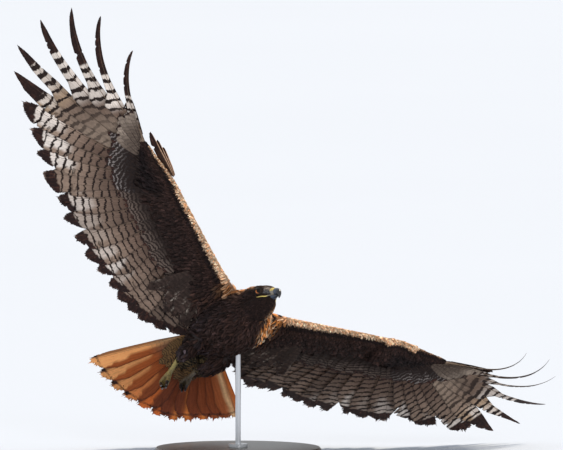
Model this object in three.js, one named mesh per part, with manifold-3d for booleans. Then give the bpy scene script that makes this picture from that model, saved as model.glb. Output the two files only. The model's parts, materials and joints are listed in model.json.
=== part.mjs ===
// A dark red-tailed hawk soaring in a bank, life size, held by a plain display stand.
// Millimetres, +Z up. The bird is shaped in a frame of its own, in which +X runs to the bill,
// +Y to its left and +Z to its back, and is then banked and turned over the stand.
import * as THREE from "three";
import Module from "manifold-3d";

const wasm = await Module();
wasm.setup();

const DEG = Math.PI / 180;
const RIGHT = -1;
const LEFT = 1;

// The pose of the whole bird over the stand.
const HEADING = -51.3;
const PITCH = -22.6;
const BANK = -36.4;
const BODY_HEIGHT = 240;
const ROD_X = 11;

// Clearances between nodes, and between vanes that lie over one another.
const GAP = 0.3;
const PITCH_OF_LAYERS = 1.35;
const VANE_THICKNESS = 0.85;
const FINEST = 0.06;

// Wing: the shoulder joint, the arm from shoulder to wrist, and the rows of flight feathers.
const SHOULDER_X = 78;
const SHOULDER_Y = 42;
const SHOULDER_Z = 18;
const ARM_LENGTH = 236;
const ELBOW_SHARE = 0.475;
const ELBOW_BACK = 40;
const PRIMARY_LENGTHS = [220, 231, 242, 263, 302, 322, 328, 318, 284, 202];
const PRIMARY_SPACING = 10.5;
const SECONDARY_COUNT = 13;
const SECONDARY_LENGTH = 221;
const BEND_FROM = 0.4;
const BEND_POWER = 1.3;

const WINGS = {
  R: {
    side: RIGHT,
    arm: { sweep: 8.7, raise: 15, twist: 5.6 },
    hand: { sweep: 28.7, raise: 14.1, twist: 6.5 },
    secondaryAngles: [72.3, 66.5, -16.5],
    curve: [5.6, 5.6, 5.6, 5.6, 5.6, 5.6, 5.6, 5.6, 5.6, 5.6],
    fan: [70.8, 64, 56, 47.2, 39.8, 33, 22.9, 13.7, 6, -5.5],
    roll: [0, 0, 0, 0, 0, 4, 8, 14, 20, 26],
    bend: [0, 3, 5, 5, 11, 20, 37, 58, 75, 90],
    longerPrimaries: [-2, -4, -3, -1, 0, 0, 0, 0, 0, 0],
    longerSecondaries: [0, 0, 6, 8, 8, 7, 8, 8, 8, 7, 6, 5, 4],
    fingers: [[8, 25], [11.5, 17], [9.5, 17], [6.5, 17], [7, 12], [6.5, 11]],
    armNose: [13, 12, 8, -4, -18, -29, -31],
    handNose: [-29, -31, -25, -15, -7, -2],
    alula: { out: 28, angle: 6 },
  },
  L: {
    side: LEFT,
    arm: { sweep: 13.2, raise: 12.6, twist: 5.8 },
    hand: { sweep: -4, raise: 20.3, twist: 18.1 },
    secondaryAngles: [64.3, 89, -45],
    curve: [2, 2, 2, 2, 3, 4, -3, -11, -12, -11.6],
    fan: [45, 38.2, 31.8, 27.4, 22.3, 15, 9.5, 5.6, 0.2, -5.9],
    roll: [0, 0, 0, 0, 0, 5, 10, 20, 26, 28],
    bend: [0, 0, 0, 0, 4, 8, 18, 40, 53, 56],
    longerPrimaries: [-2, 0, -5, 2, 2, 0, 0, 3, 0, 2],
    longerSecondaries: [3, 2, 1, 9, 10, 8, 2, -6, -4, 0, 0, 0, 0],
    fingers: [[11, 20], [4, 18], [4, 16], [4, 12], [4, 10], [4, 8]],
    armNose: [10, 8, 4, -4, -12, -17, -17],
    handNose: [-16, -16, -12, -8, -5, -2],
    alula: { out: -2, angle: 6 },
  },
};

// Tail: twelve feathers spread as a fan from the rump.
const TAIL = {
  x: -102,
  z: 19,
  length: 223,
  pitch: -17,
  yaw: -21.9,
  roll: 10.9,
  angles: [41.6, -9.6, 0.9],
  shorter: [0.2, -0.1],
};
const TAIL_FEATHERS = 12;

// Head: the midpoint between the eyes, and how the head is held against the body.
const HEAD = { x: 120, y: -13, z: 7, yaw: 8, pitch: 1.3, roll: 14.5 };

const up = new THREE.Vector3(0, 0, 1);
const vec = (x, y, z) => new THREE.Vector3(x, y, z);
const mix = (a, b, t) => a + (b - a) * t;
const clamp01 = (t) => Math.min(1, Math.max(0, t));
const smooth = (t) => clamp01(t) ** 2 * (3 - 2 * clamp01(t));

// Seeded noise, so that each run gives the same small irregularities.
function seeded(seed) {
  let state = seed >>> 0;
  return () => {
    state = (state + 0x6d2b79f5) >>> 0;
    let t = state;
    t = Math.imul(t ^ (t >>> 15), t | 1);
    t ^= t + Math.imul(t ^ (t >>> 7), t | 61);
    return ((t ^ (t >>> 14)) >>> 0) / 4294967296 - 0.5;
  };
}

// A value between named stations, [place, value] pairs in order.
function along(stations, t) {
  let k = 1;
  while (k < stations.length - 1 && stations[k][0] < t) k += 1;
  const [t0, v0] = stations[k - 1];
  const [t1, v1] = stations[k];
  return mix(v0, v1, clamp01((t - t0) / (t1 - t0)));
}

// A closed manifold solid from points and faces, turned to face outwards.
function solid(points, faces) {
  let volume = 0;
  for (const [a, b, c] of faces) {
    volume += points[a].dot(points[b].clone().cross(points[c]));
  }
  const flip = volume < 0;
  const vertProperties = new Float32Array(points.flatMap((p) => [p.x, p.y, p.z]));
  const triVerts = new Uint32Array(faces.flatMap(([a, b, c]) => (flip ? [a, c, b] : [a, b, c])));
  return new wasm.Manifold(new wasm.Mesh({ numProp: 3, vertProperties, triVerts }));
}

// Rings of equal length, each joined to the next, with both ends closed on a middle point.
function loft(rings) {
  const points = rings.flat();
  const n = rings[0].length;
  const faces = [];
  for (let i = 0; i + 1 < rings.length; i += 1) {
    for (let j = 0; j < n; j += 1) {
      const a = i * n + j;
      const b = i * n + ((j + 1) % n);
      faces.push([a, b, b + n], [a, b + n, a + n]);
    }
  }
  for (const end of [0, rings.length - 1]) {
    const middle = points.length;
    const sum = rings[end].reduce((s, p) => s.add(p), vec(0, 0, 0));
    points.push(sum.divideScalar(n));
    for (let j = 0; j < n; j += 1) {
      const a = end * n + j;
      const b = end * n + ((j + 1) % n);
      faces.push(end === 0 ? [middle, b, a] : [middle, a, b]);
    }
  }
  return solid(points, faces);
}

// An oval ring of n points about a centre, flatter or rounder above and below its widest line.
function oval(centre, sideways, upwards, { w, top, bottom, square = 2 }, n = 20) {
  const ring = [];
  for (let j = 0; j < n; j += 1) {
    const angle = (j / n) * 2 * Math.PI;
    const c = Math.cos(angle);
    const s = Math.sin(angle);
    const u = Math.sign(c) * Math.abs(c) ** (2 / square) * w;
    const v = Math.sign(s) * Math.abs(s) ** (2 / square) * (s > 0 ? top : bottom);
    ring.push(centre.clone().addScaledVector(sideways, u).addScaledVector(upwards, v));
  }
  return ring;
}

// A round tube along a few points, its radius given at each, with rounded ends.
function limb(path, radii, sides = 10, steps = 4) {
  const curve = new THREE.CatmullRomCurve3(path, false, "centripetal");
  const count = (path.length - 1) * steps;
  const frames = curve.computeFrenetFrames(count, false);
  const rings = [];
  const radiusAt = (t) => {
    const k = Math.min(radii.length - 2, Math.floor(t * (radii.length - 1)));
    return mix(radii[k], radii[k + 1], t * (radii.length - 1) - k);
  };
  for (let i = 0; i <= count; i += 1) {
    const t = i / count;
    const r = radiusAt(t);
    const centre = curve.getPoint(t);
    const size = { w: r, top: r, bottom: r };
    if (i === 0) {
      const back = frames.tangents[0].clone().multiplyScalar(-0.5 * r);
      const cap = { w: r * 0.6, top: r * 0.6, bottom: r * 0.6 };
      rings.push(oval(centre.clone().add(back), frames.normals[0], frames.binormals[0], cap, sides));
    }
    rings.push(oval(centre, frames.normals[i], frames.binormals[i], size, sides));
    if (i === count) {
      const on = frames.tangents[i].clone().multiplyScalar(0.5 * r);
      const cap = { w: r * 0.6, top: r * 0.6, bottom: r * 0.6 };
      rings.push(oval(centre.clone().add(on), frames.normals[i], frames.binormals[i], cap, sides));
    }
  }
  return loft(rings);
}

function ellipsoid(centre, rx, ry, rz, segments = 16) {
  return wasm.Manifold.sphere(1, segments).scale([rx, ry, rz]).translate(centre.toArray());
}

// One solid from several, of which the largest closed surface is kept.
function fuse(pieces) {
  const whole = wasm.Manifold.union(pieces).simplify(FINEST);
  const parts = whole.decompose();
  parts.sort((a, b) => b.volume() - a.volume());
  return parts[0];
}

// The direction of a feather's shaft at a share of its length: it bends up and sways back.
function shaftHeading(f, t) {
  const turn = f.bend * DEG * clamp01((t - BEND_FROM) / (1 - BEND_FROM)) ** BEND_POWER;
  const sway = f.curve * DEG * Math.max(0, t);
  return f.along
    .clone()
    .multiplyScalar(Math.cos(turn) * Math.cos(sway))
    .addScaledVector(f.up, Math.sin(turn))
    .addScaledVector(f.lead, -Math.sin(sway) * Math.cos(turn));
}

// A feather's vane: a thin closed blade, curved along its shaft and pointed at its tip.
// 'lean' is the rise towards the leading edge for each millimetre across, which lets each
// vane pass over its neighbour.
function vane(f) {
  const stations = f.stations;
  const points = [];
  const steps = 24;
  const shaft = [f.root.clone()];
  const heading = (t) => shaftHeading(f, t);
  for (let i = 0; i < steps; i += 1) {
    shaft.push(shaft[i].clone().addScaledVector(heading((i + 0.5) / steps), f.length / steps));
  }
  const place = (t) => {
    const k = Math.max(0, Math.min(steps - 1, Math.floor(t * steps)));
    return shaft[k].clone().lerp(shaft[k + 1], t * steps - k);
  };
  const roll = (t) => (f.roll || 0) * DEG * smooth((t - f.notch) / 0.2);
  stations.forEach((t, i) => {
    const last = i === stations.length - 1;
    const d = heading(t);
    const flat = f.lead.clone().addScaledVector(d, -f.lead.dot(d)).normalize();
    const rise = f.up.clone().addScaledVector(d, -f.up.dot(d));
    rise.addScaledVector(flat, -rise.dot(flat)).normalize();
    const e = flat.clone().multiplyScalar(Math.cos(roll(t))).addScaledVector(rise, -Math.sin(roll(t)));
    const n = rise.clone().multiplyScalar(Math.cos(roll(t))).addScaledVector(flat, Math.sin(roll(t)));
    const lean = f.lean(t);
    const thick = f.thickness * (last ? 0.6 : 1);
    const sides = [f.leadWidth(t), -f.trailWidth(t)];
    const across = last ? [sides[0], 0, sides[1]] : sides;
    for (const face of [0.5, -0.5]) {
      for (const v of across) {
        const p = place(last && v !== 0 ? t - f.blunt / f.length : t);
        p.addScaledVector(e, v).addScaledVector(n, lean * v + face * thick);
        points.push(p);
      }
    }
  });
  const faces = [];
  const ends = stations.length - 1;
  for (let i = 0; i + 1 < ends; i += 1) {
    const a = i * 4;
    const b = a + 4;
    faces.push([a, a + 1, b + 1], [a, b + 1, b], [a + 3, a + 2, b + 3], [b + 3, a + 2, b + 2]);
    faces.push([a + 1, a + 3, b + 3], [a + 1, b + 3, b + 1], [b, b + 2, a + 2], [b, a + 2, a]);
  }
  const a = (ends - 1) * 4;
  const z = ends * 4;
  faces.push([a, a + 1, z + 1], [a + 1, z + 2, z + 1], [a, z + 1, z]);
  faces.push([a + 3, a + 2, z + 4], [z + 5, a + 3, z + 4], [z + 4, a + 2, z + 3]);
  faces.push([a + 1, a + 3, z + 5], [a + 1, z + 5, z + 2], [z, z + 3, a + 2], [z, a + 2, a]);
  faces.push([0, 2, 3], [0, 3, 1]);
  faces.push([z, z + 1, z + 4], [z, z + 4, z + 3], [z + 1, z + 2, z + 5], [z + 1, z + 5, z + 4]);
  return solid(points, faces);
}

// The frame of one wing section: outwards, backwards and upwards.
function sectionFrame(side, { sweep, raise, twist }) {
  const out = vec(
    Math.sin(sweep * DEG),
    side * Math.cos(sweep * DEG) * Math.cos(raise * DEG),
    Math.cos(sweep * DEG) * Math.sin(raise * DEG),
  );
  const flatBack = vec(-1, 0, 0).addScaledVector(out, out.x).normalize();
  const flatUp = out.clone().cross(flatBack).multiplyScalar(side);
  const c = Math.cos(twist * DEG);
  const s = Math.sin(twist * DEG);
  const back = flatBack.clone().multiplyScalar(c).addScaledVector(flatUp, -s);
  const rise = flatUp.clone().multiplyScalar(c).addScaledVector(flatBack, s);
  return { out, back, up: rise };
}

// The frame between arm and hand for feather number f, from -13 at the body to +10 at the tip.
function blendFrame(arm, hand, side, f) {
  const w = smooth((f + 7) / 12);
  const out = arm.out.clone().lerp(hand.out, w).normalize();
  const back = arm.back.clone().lerp(hand.back, w);
  back.addScaledVector(out, -back.dot(out)).normalize();
  const rise = out.clone().cross(back).multiplyScalar(side);
  return { out, back, up: rise };
}

// Where each flight feather of a wing is rooted, and which way it runs.
function wingPlan(w) {
  const arm = sectionFrame(w.side, w.arm);
  const hand = sectionFrame(w.side, w.hand);
  const shoulder = vec(SHOULDER_X, w.side * SHOULDER_Y, SHOULDER_Z);
  const wrist = shoulder.clone().addScaledVector(arm.out, ARM_LENGTH);
  const elbow = shoulder
    .clone()
    .addScaledVector(arm.out, ELBOW_SHARE * ARM_LENGTH)
    .addScaledVector(arm.back, ELBOW_BACK);
  const feather = (frame, root, angle) => {
    const c = Math.cos(angle * DEG);
    const s = Math.sin(angle * DEG);
    return {
      root,
      along: frame.out.clone().multiplyScalar(c).addScaledVector(frame.back, s),
      lead: frame.out.clone().multiplyScalar(s).addScaledVector(frame.back, -c),
      up: frame.up,
    };
  };
  const primaries = PRIMARY_LENGTHS.map((standard, k) => {
    const length = standard + w.longerPrimaries[k];
    const root = wrist
      .clone()
      .addScaledVector(hand.out, 8 + k * PRIMARY_SPACING)
      .addScaledVector(hand.back, 18 - 1.5 * k);
    const frame = blendFrame(arm, hand, w.side, k + 0.5);
    const made = feather(frame, root, w.fan[k]);
    const outermost = k === 9;
    return { ...made, length, bend: w.bend[k], roll: w.roll[k], curve: w.curve[k], outermost };
  });
  const secondaries = [];
  for (let j = 1; j <= SECONDARY_COUNT; j += 1) {
    const root = wrist.clone().lerp(elbow, Math.min(1, (j - 1) / 9));
    if (j > 10) root.lerp(shoulder, (j - 10) * 0.16);
    root.addScaledVector(arm.back, 8);
    const frame = blendFrame(arm, hand, w.side, 0.5 - j);
    const x = (j - 1) / 11;
    const angle = w.secondaryAngles[0] + w.secondaryAngles[1] * x + w.secondaryAngles[2] * x * x;
    const shorter = j > 8 ? (j - 8) ** 2 * 1.5 : 0;
    const length = SECONDARY_LENGTH - shorter + w.longerSecondaries[j - 1];
    secondaries.push({ ...feather(frame, root, angle), length, bend: 3, roll: 0, curve: 0 });
  }
  return { ...w, arm, hand, shoulder, wrist, elbow, primaries, secondaries };
}

// The place on a feather's shaft at a distance from its root.
function shaftAt(f, distance) {
  const steps = 12;
  const p = f.root.clone();
  for (let i = 0; i < steps; i += 1) {
    p.addScaledVector(shaftHeading(f, ((i + 0.5) / steps) * (distance / f.length)), distance / steps);
  }
  return p;
}

// The lean that lets a vane clear both neighbours: under the inner shaft and over the outer.
function leanOf(f, inner, outer, distance) {
  const place = shaftAt(f, distance);
  const least = [0.02];
  if (inner) {
    const r = shaftAt(inner, distance).sub(place);
    least.push((PITCH_OF_LAYERS - r.dot(f.up)) / Math.max(4, -r.dot(f.lead)));
  }
  if (outer) {
    const r = shaftAt(outer, distance).sub(place);
    least.push((PITCH_OF_LAYERS + r.dot(f.up)) / Math.max(4, r.dot(f.lead)));
  }
  return Math.min(0.4, Math.max(...least));
}

// The fleshy section of a wing: an airfoil from its leading edge back to 'chord'.
const FOIL = [
  [1, 0.5],
  [0.75, 0.8],
  [0.5, 0.97],
  [0.28, 1],
  [0.12, 0.8],
  [0.03, 0.42],
];
function foilRing(nose, back, rise, chord, height, drop, tail) {
  const ring = [];
  const edge = (s, h) =>
    nose
      .clone()
      .addScaledVector(back, s * chord)
      .addScaledVector(rise, h);
  const depth = (s, h) => Math.max(h, s > 0.5 ? mix(h, tail, (s - 0.5) * 2) : h);
  for (const [s, h] of FOIL) ring.push(edge(s, depth(s, h * height) * (s === 1 ? 0.9 : 1)));
  ring.push(edge(0, 0));
  for (const [s, h] of [...FOIL].reverse()) {
    ring.push(edge(s, -depth(s, h * drop) * (s === 1 ? 0.9 : 1)));
  }
  return ring;
}

const material = (color, roughness, metalness = 0) =>
  new THREE.MeshStandardMaterial({ color, roughness, metalness, flatShading: true });
const DARK_COAT = material(0x38291f, 0.85);
const FLIGHT = material(0x67564f, 0.8);
const RUFOUS = material(0x9e592b, 0.8);
const HORN = material(0x3a3c4e, 0.35);
const CERE = material(0xddcca7, 0.5);
const SKIN = material(0x78602e, 0.6);
const EYE = material(0x1c120c, 0.1);
const WOOD = material(0x2e241d, 0.5);
const STEEL = material(0xb8b8b8, 0.35, 1);

const bird = new THREE.Group();
bird.position.set(-ROD_X, 0, BODY_HEIGHT);
bird.rotation.set(BANK * DEG, PITCH * DEG, HEADING * DEG, "ZYX");

function meshOf(manifold) {
  const got = manifold.getMesh();
  const geometry = new THREE.BufferGeometry();
  geometry.setAttribute("position", new THREE.BufferAttribute(got.vertProperties.slice(), 3));
  geometry.setIndex(new THREE.BufferAttribute(got.triVerts.slice(), 1));
  geometry.computeVertexNormals();
  return geometry;
}

function add(name, manifold, look, parent = bird) {
  const mesh = new THREE.Mesh(meshOf(manifold), look);
  mesh.name = name;
  parent.add(mesh);
  return mesh;
}

// Body: one form from rump to face, parted afterwards with thin cuts. Each station gives its
// middle, half width, and height above and below the middle.
const TORSO = [
  { x: -112, y: 0, z: 8, w: 27, top: 19, bottom: 27 },
  { x: -92, y: 0, z: 5, w: 36, top: 26, bottom: 37 },
  { x: -62, y: 0, z: 2, w: 47, top: 35, bottom: 48 },
  { x: -25, y: 0, z: 0, w: 56, top: 43, bottom: 55 },
  { x: 15, y: 0, z: -2, w: 60, top: 48, bottom: 59 },
  { x: 45, y: -1, z: -3, w: 57, top: 47, bottom: 57 },
  { x: 66, y: -4, z: -2, w: 48, top: 41, bottom: 50 },
  { x: 83, y: -9, z: 0, w: 38, top: 32, bottom: 41 },
];
const FACE = [
  { x: -24, w: 29, top: 23, bottom: 30 },
  { x: -14, w: 26.5, top: 20.5, bottom: 27 },
  { x: -3, w: 24.5, top: 19, bottom: 24.5 },
  { x: 7, w: 21.5, top: 17.5, bottom: 22 },
  { x: 14, w: 17, top: 15.5, bottom: 20 },
  { x: 19, w: 12.5, top: 11, bottom: 18 },
  { x: 24, w: 9, top: 7, bottom: 15.5 },
];
// The full throat, as limbs on both sides of the middle, from the chin down to the breast.
const THROAT = [[8, 4, -15], [-10, 7, -26], [-34, 7, -27], [-56, 6, -22]];
const THROAT_RADII = [14.5, 19, 22, 25];
const NECK_X = 68;
const FACE_CUT = -19;
const CERE_X = 20.5;
const BILL_X = 27;
const MOUTH_Z = -10;

const headTurn = new THREE.Matrix4()
  .makeRotationFromEuler(new THREE.Euler(HEAD.roll * DEG, HEAD.pitch * DEG, HEAD.yaw * DEG, "ZYX"))
  .setPosition(HEAD.x, HEAD.y, HEAD.z);
const onHead = (x, y, z) => vec(x, y, z).applyMatrix4(headTurn);
const headAxis = (x, y, z) => vec(x, y, z).transformDirection(headTurn);
const headSide = headAxis(0, 1, 0);
const headUp = headAxis(0, 0, 1);
const headFront = headAxis(1, 0, 0);

function bodyForm(grow) {
  const rings = TORSO.map((s) => {
    const size = { w: s.w + grow, top: s.top + grow, bottom: s.bottom + grow, square: 2.15 };
    return oval(vec(s.x, s.y, s.z), vec(0, 1, 0), up, size, 28);
  });
  for (const s of FACE) {
    const size = { w: s.w + grow, top: s.top + grow, bottom: s.bottom + grow };
    rings.push(oval(onHead(s.x, 0, 0), headSide, headUp, size, 28));
  }
  const throat = [RIGHT, LEFT].map((side) => {
    const path = THROAT.map(([x, y, z]) => onHead(x, side * y, z));
    return limb(path, THROAT_RADII.map((r) => r + grow), 18, 3);
  });
  return fuse([loft(rings), ...throat]);
}

// Keeps what lies on the side that the direction points to, from the point onwards.
const keep = (shape, point, direction) =>
  shape.trimByPlane(direction.toArray(), point.dot(direction));

const whole = bodyForm(0);
const grown = bodyForm(GAP);
const xAxis = vec(1, 0, 0);
const back = vec(-1, 0, 0);

const scene = new THREE.Group();
const standGroup = new THREE.Group();
const toStand = new THREE.Matrix4().compose(bird.position, bird.quaternion, vec(1, 1, 1)).invert();

// Stand: a flat round base, and a rod with a collar up into the belly.
const BASE_RADIUS = 150;
const BASE_HEIGHT = 16;
const BASE_EDGE = 3;
const ROD_RADIUS = 5;
const ROD_SINK = 8;
const ROD_TOP = BODY_HEIGHT - 24;
const COLLAR_RADIUS = 17;
const COLLAR_HEIGHT = 6;
const cylinder = (radius, from, to, sides = 24) =>
  wasm.Manifold.cylinder(to - from, radius, radius, sides).translate([0, 0, from]);

const base = wasm.Manifold.cylinder(BASE_HEIGHT - BASE_EDGE, BASE_RADIUS, BASE_RADIUS, 48)
  .add(
    wasm.Manifold.cylinder(BASE_EDGE, BASE_RADIUS, BASE_RADIUS - BASE_EDGE, 48)
      .translate([0, 0, BASE_HEIGHT - BASE_EDGE]),
  )
  .subtract(cylinder(ROD_RADIUS + GAP, BASE_HEIGHT - ROD_SINK, BASE_HEIGHT + 1));
const rod = fuse([
  cylinder(ROD_RADIUS, BASE_HEIGHT - ROD_SINK + GAP, ROD_TOP),
  cylinder(COLLAR_RADIUS, BASE_HEIGHT + GAP, BASE_HEIGHT + GAP + COLLAR_HEIGHT),
]);
const rodHole = cylinder(ROD_RADIUS + GAP, BASE_HEIGHT, ROD_TOP + GAP).transform(toStand.elements);

// Torso, neck and head.
const torso = keep(whole, vec(NECK_X, 0, 0), back).subtract(rodHole);
add("torso", torso, DARK_COAT);
const faceCut = onHead(FACE_CUT, 0, 0);
const neck = keep(keep(whole, vec(NECK_X + GAP, 0, 0), xAxis), faceCut, headFront.clone().negate());
add("neck", neck, DARK_COAT);

// Eyes look outwards and a little forwards and down, under a brow.
const EYE_RADIUS = 10.5;
const EYE_PLACE = { x: -1, y: 12.6, z: 0 };
const BROW = { x: 4, y: 18, z: 10.2, long: 14, wide: 5.4, high: 3.2 };
const SOCKET = { x: 3.5, y: 25, z: -0.6, long: 10, wide: 5.2, high: 8 };
const headSolid = (m) => m.transform(headTurn.elements);
const blob = (side, s, radii, n = 18) => ellipsoid(vec(s.x, side * s.y, s.z), ...radii, n);

const brows = [RIGHT, LEFT].map((side) =>
  headSolid(blob(side, BROW, [BROW.long, BROW.wide, BROW.high], 12)),
);
let head = keep(whole, onHead(FACE_CUT + GAP, 0, 0), headFront);
head = keep(head, onHead(CERE_X, 0, 0), headFront.clone().negate());
head = fuse([head]);
for (const side of [RIGHT, LEFT]) {
  head = head.subtract(headSolid(blob(side, SOCKET, [SOCKET.long, SOCKET.wide, SOCKET.high], 14)));
}
head = fuse([head, ...brows]);
for (const side of [RIGHT, LEFT]) {
  const r = EYE_RADIUS + GAP;
  head = head.subtract(headSolid(blob(side, EYE_PLACE, [r, r, r])));
}

// The corner of the mouth runs back below the eye as a fine groove.
const GAPE = [
  [25, 7.6, MOUTH_Z + 0.2],
  [16, 15.2, MOUTH_Z - 0.4],
  [7, 19.8, MOUTH_Z - 1.4],
  [-1, 22.4, MOUTH_Z - 2.6],
];
for (const side of [RIGHT, LEFT]) {
  const path = GAPE.map(([x, y, z]) => onHead(x, side * y, z));
  head = head.subtract(limb(path, [0.9, 0.9, 0.8, 0.6], 4, 1));
}
add("head", fuse([head]), DARK_COAT);
for (const side of [RIGHT, LEFT]) {
  const r = EYE_RADIUS;
  const eye = headSolid(blob(side, EYE_PLACE, [r, r, r]));
  add(side === RIGHT ? "eye_R" : "eye_L", eye, EYE);
}

// Bill: the cere with its nostrils, the hooked upper half, and the lower half.
const HOOK = [
  { x: 27, z: -2.6, tilt: 0, high: 7.2, w: 7.4 },
  { x: 31, z: -3.1, tilt: 12, high: 6.8, w: 6.5 },
  { x: 35, z: -5.5, tilt: 38, high: 5.5, w: 4.9 },
  { x: 37.6, z: -9.8, tilt: 66, high: 3.9, w: 3.3 },
  { x: 38.2, z: -14, tilt: 88, high: 2.3, w: 1.9 },
  { x: 37.6, z: -17.8, tilt: 100, high: 0.8, w: 0.7 },
];
const hookRings = HOOK.map((s) => {
  const rise = headAxis(Math.sin(s.tilt * DEG), 0, Math.cos(s.tilt * DEG));
  return oval(onHead(s.x, 0, s.z), headSide, rise, { w: s.w, top: s.high, bottom: s.high }, 16);
});
const mouthBlock = headSolid(
  wasm.Manifold.cube([40, 40, 20], true).translate([34 - 20, 0, MOUTH_Z + GAP / 2 - 10]),
);
const hook = keep(loft(hookRings), onHead(BILL_X + GAP, 0, 0), headFront);
add("bill_upper", fuse([hook.subtract(mouthBlock)]), HORN);

const cereRings = [
  oval(onHead(CERE_X + GAP, 0, -1.8), headSide, headUp, { w: 9.2, top: 8, bottom: 9 }, 20),
  oval(onHead(24.5, 0, -2.3), headSide, headUp, { w: 8.6, top: 7.9, bottom: 9 }, 20),
  oval(onHead(BILL_X, 0, -2.6), headSide, headUp, { w: 7.8, top: 7.6, bottom: 9 }, 20),
];
let cere = keep(loft(cereRings), onHead(0, 0, MOUTH_Z + GAP / 2), headUp);
for (const side of [RIGHT, LEFT]) {
  cere = cere.subtract(headSolid(ellipsoid(vec(24.6, side * 8.2, -1.6), 1.7, 1.6, 1.2, 10)));
}
add("cere", fuse([cere]), CERE);

const lowerRings = [
  oval(onHead(CERE_X + GAP, 0, MOUTH_Z - 1), headSide, headUp, { w: 7.6, top: 3, bottom: 5 }, 16),
  oval(onHead(27, 0, MOUTH_Z - 1), headSide, headUp, { w: 5.8, top: 3, bottom: 4.2 }, 16),
  oval(onHead(32.4, 0, MOUTH_Z - 0.8), headSide, headUp, { w: 3, top: 2, bottom: 2.4 }, 16),
];
const lower = keep(loft(lowerRings), onHead(0, 0, MOUTH_Z - GAP / 2), headUp.clone().negate());
add("bill_lower", fuse([lower]), HORN);

// Legs lie back under the tail: a feathered thigh, a bare tarsus, and a closed foot.
const THIGH = [
  { x: -50, y: 30, z: -36, r: 23 },
  { x: -82, y: 28, z: -50, r: 17 },
  { x: -114, y: 21, z: -47, r: 8.5 },
];
const ANKLE = { x: -118, y: 20.5, z: -46.5 };
const FEET = { R: { x: -170, y: -3.4, z: -46 }, L: { x: -162, y: 33, z: -35 } };
const TARSUS_RADIUS = 5;
const TOES = [
  { name: 1, side: -9, reach: 20, curl: 20, r: 4.2 },
  { name: 2, side: 0, reach: 26, curl: 23, r: 4.4 },
  { name: 3, side: 9, reach: 20, curl: 20, r: 4.1 },
  { name: 4, side: 2, reach: -7, curl: 16, r: 4.4 },
];
const TOE_CLAW = 17;
for (const [tag, side] of [["R", RIGHT], ["L", LEFT]]) {
  const thighPath = THIGH.map((p) => vec(p.x, side * p.y, p.z));
  const thigh = limb(thighPath, THIGH.map((p) => p.r), 14, 2).subtract(grown);
  const ankle = vec(ANKLE.x, side * ANKLE.y, ANKLE.z);
  const foot = vec(FEET[tag].x, FEET[tag].y, FEET[tag].z);
  const axis = foot.clone().sub(ankle).normalize();
  const kneeEnd = ankle.clone().addScaledVector(axis, -2);
  add(`thigh_${tag}`, fuse([keep(thigh, kneeEnd, axis.clone().negate())]), DARK_COAT);
  const footStart = foot.clone().addScaledVector(axis, -8);
  const bar = limb(
    [kneeEnd.clone().addScaledVector(axis, -6), ankle.clone().lerp(foot, 0.5), foot],
    [TARSUS_RADIUS + 0.8, TARSUS_RADIUS - 0.4, TARSUS_RADIUS + 0.6],
    12,
    3,
  );
  let tarsus = keep(bar, kneeEnd.clone().addScaledVector(axis, GAP), axis);
  tarsus = keep(tarsus, footStart, axis.clone().negate());
  add(`tarsus_${tag}`, fuse([tarsus]), SKIN);
  const down = vec(0, 0, -1).addScaledVector(axis, axis.z).normalize();
  const across = down.clone().cross(axis).normalize();
  const at = (f, s, d) =>
    foot.clone().addScaledVector(axis, f).addScaledVector(across, s).addScaledVector(down, d);
  const pieces = [ellipsoid(at(0, 0, 1), 8, 8, 7.5, 12)];
  pieces.push(limb([at(-9, 0, 0), at(0, 0, 0)], [5.4, 6], 12, 2));
  const claws = [];
  for (const toe of TOES) {
    const s = toe.side * 0.35;
    const path = [
      at(0, s, 1),
      at(toe.reach * 0.55, toe.side * 0.8, 3),
      at(toe.reach * 0.95, toe.side, toe.curl * 0.45),
      at(toe.reach * 0.8, toe.side * 0.9, toe.curl),
    ];
    const end = path[3];
    const run = end.clone().sub(path[2]).normalize();
    const cutAt = end.clone().addScaledVector(run, 0.5);
    const digit = limb(path, [toe.r, toe.r, toe.r * 0.95, toe.r * 0.85], 7, 1);
    pieces.push(keep(digit, cutAt, run.clone().negate()));
    const inward = axis.clone().multiplyScalar(toe.reach > 0 ? -1 : 1);
    const clawPath = [
      cutAt.clone().addScaledVector(run, -2),
      cutAt.clone().addScaledVector(run, TOE_CLAW * 0.35),
      cutAt.clone().addScaledVector(run, TOE_CLAW * 0.7).addScaledVector(inward, TOE_CLAW * 0.22),
      cutAt.clone().addScaledVector(run, TOE_CLAW * 0.9).addScaledVector(inward, TOE_CLAW * 0.55),
    ];
    const clawStart = cutAt.clone().addScaledVector(run, GAP);
    const claw = keep(limb(clawPath, [3.2, 2.9, 1.8, 0.6], 6, 1), clawStart, run);
    claws.push([`claw_${tag}_${toe.name}`, fuse([claw])]);
  }
  const heel = footStart.clone().addScaledVector(axis, GAP);
  add(`foot_${tag}`, fuse([keep(fuse(pieces), heel, axis)]), SKIN);
  for (const [name, claw] of claws) add(name, claw, HORN);
}

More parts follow.
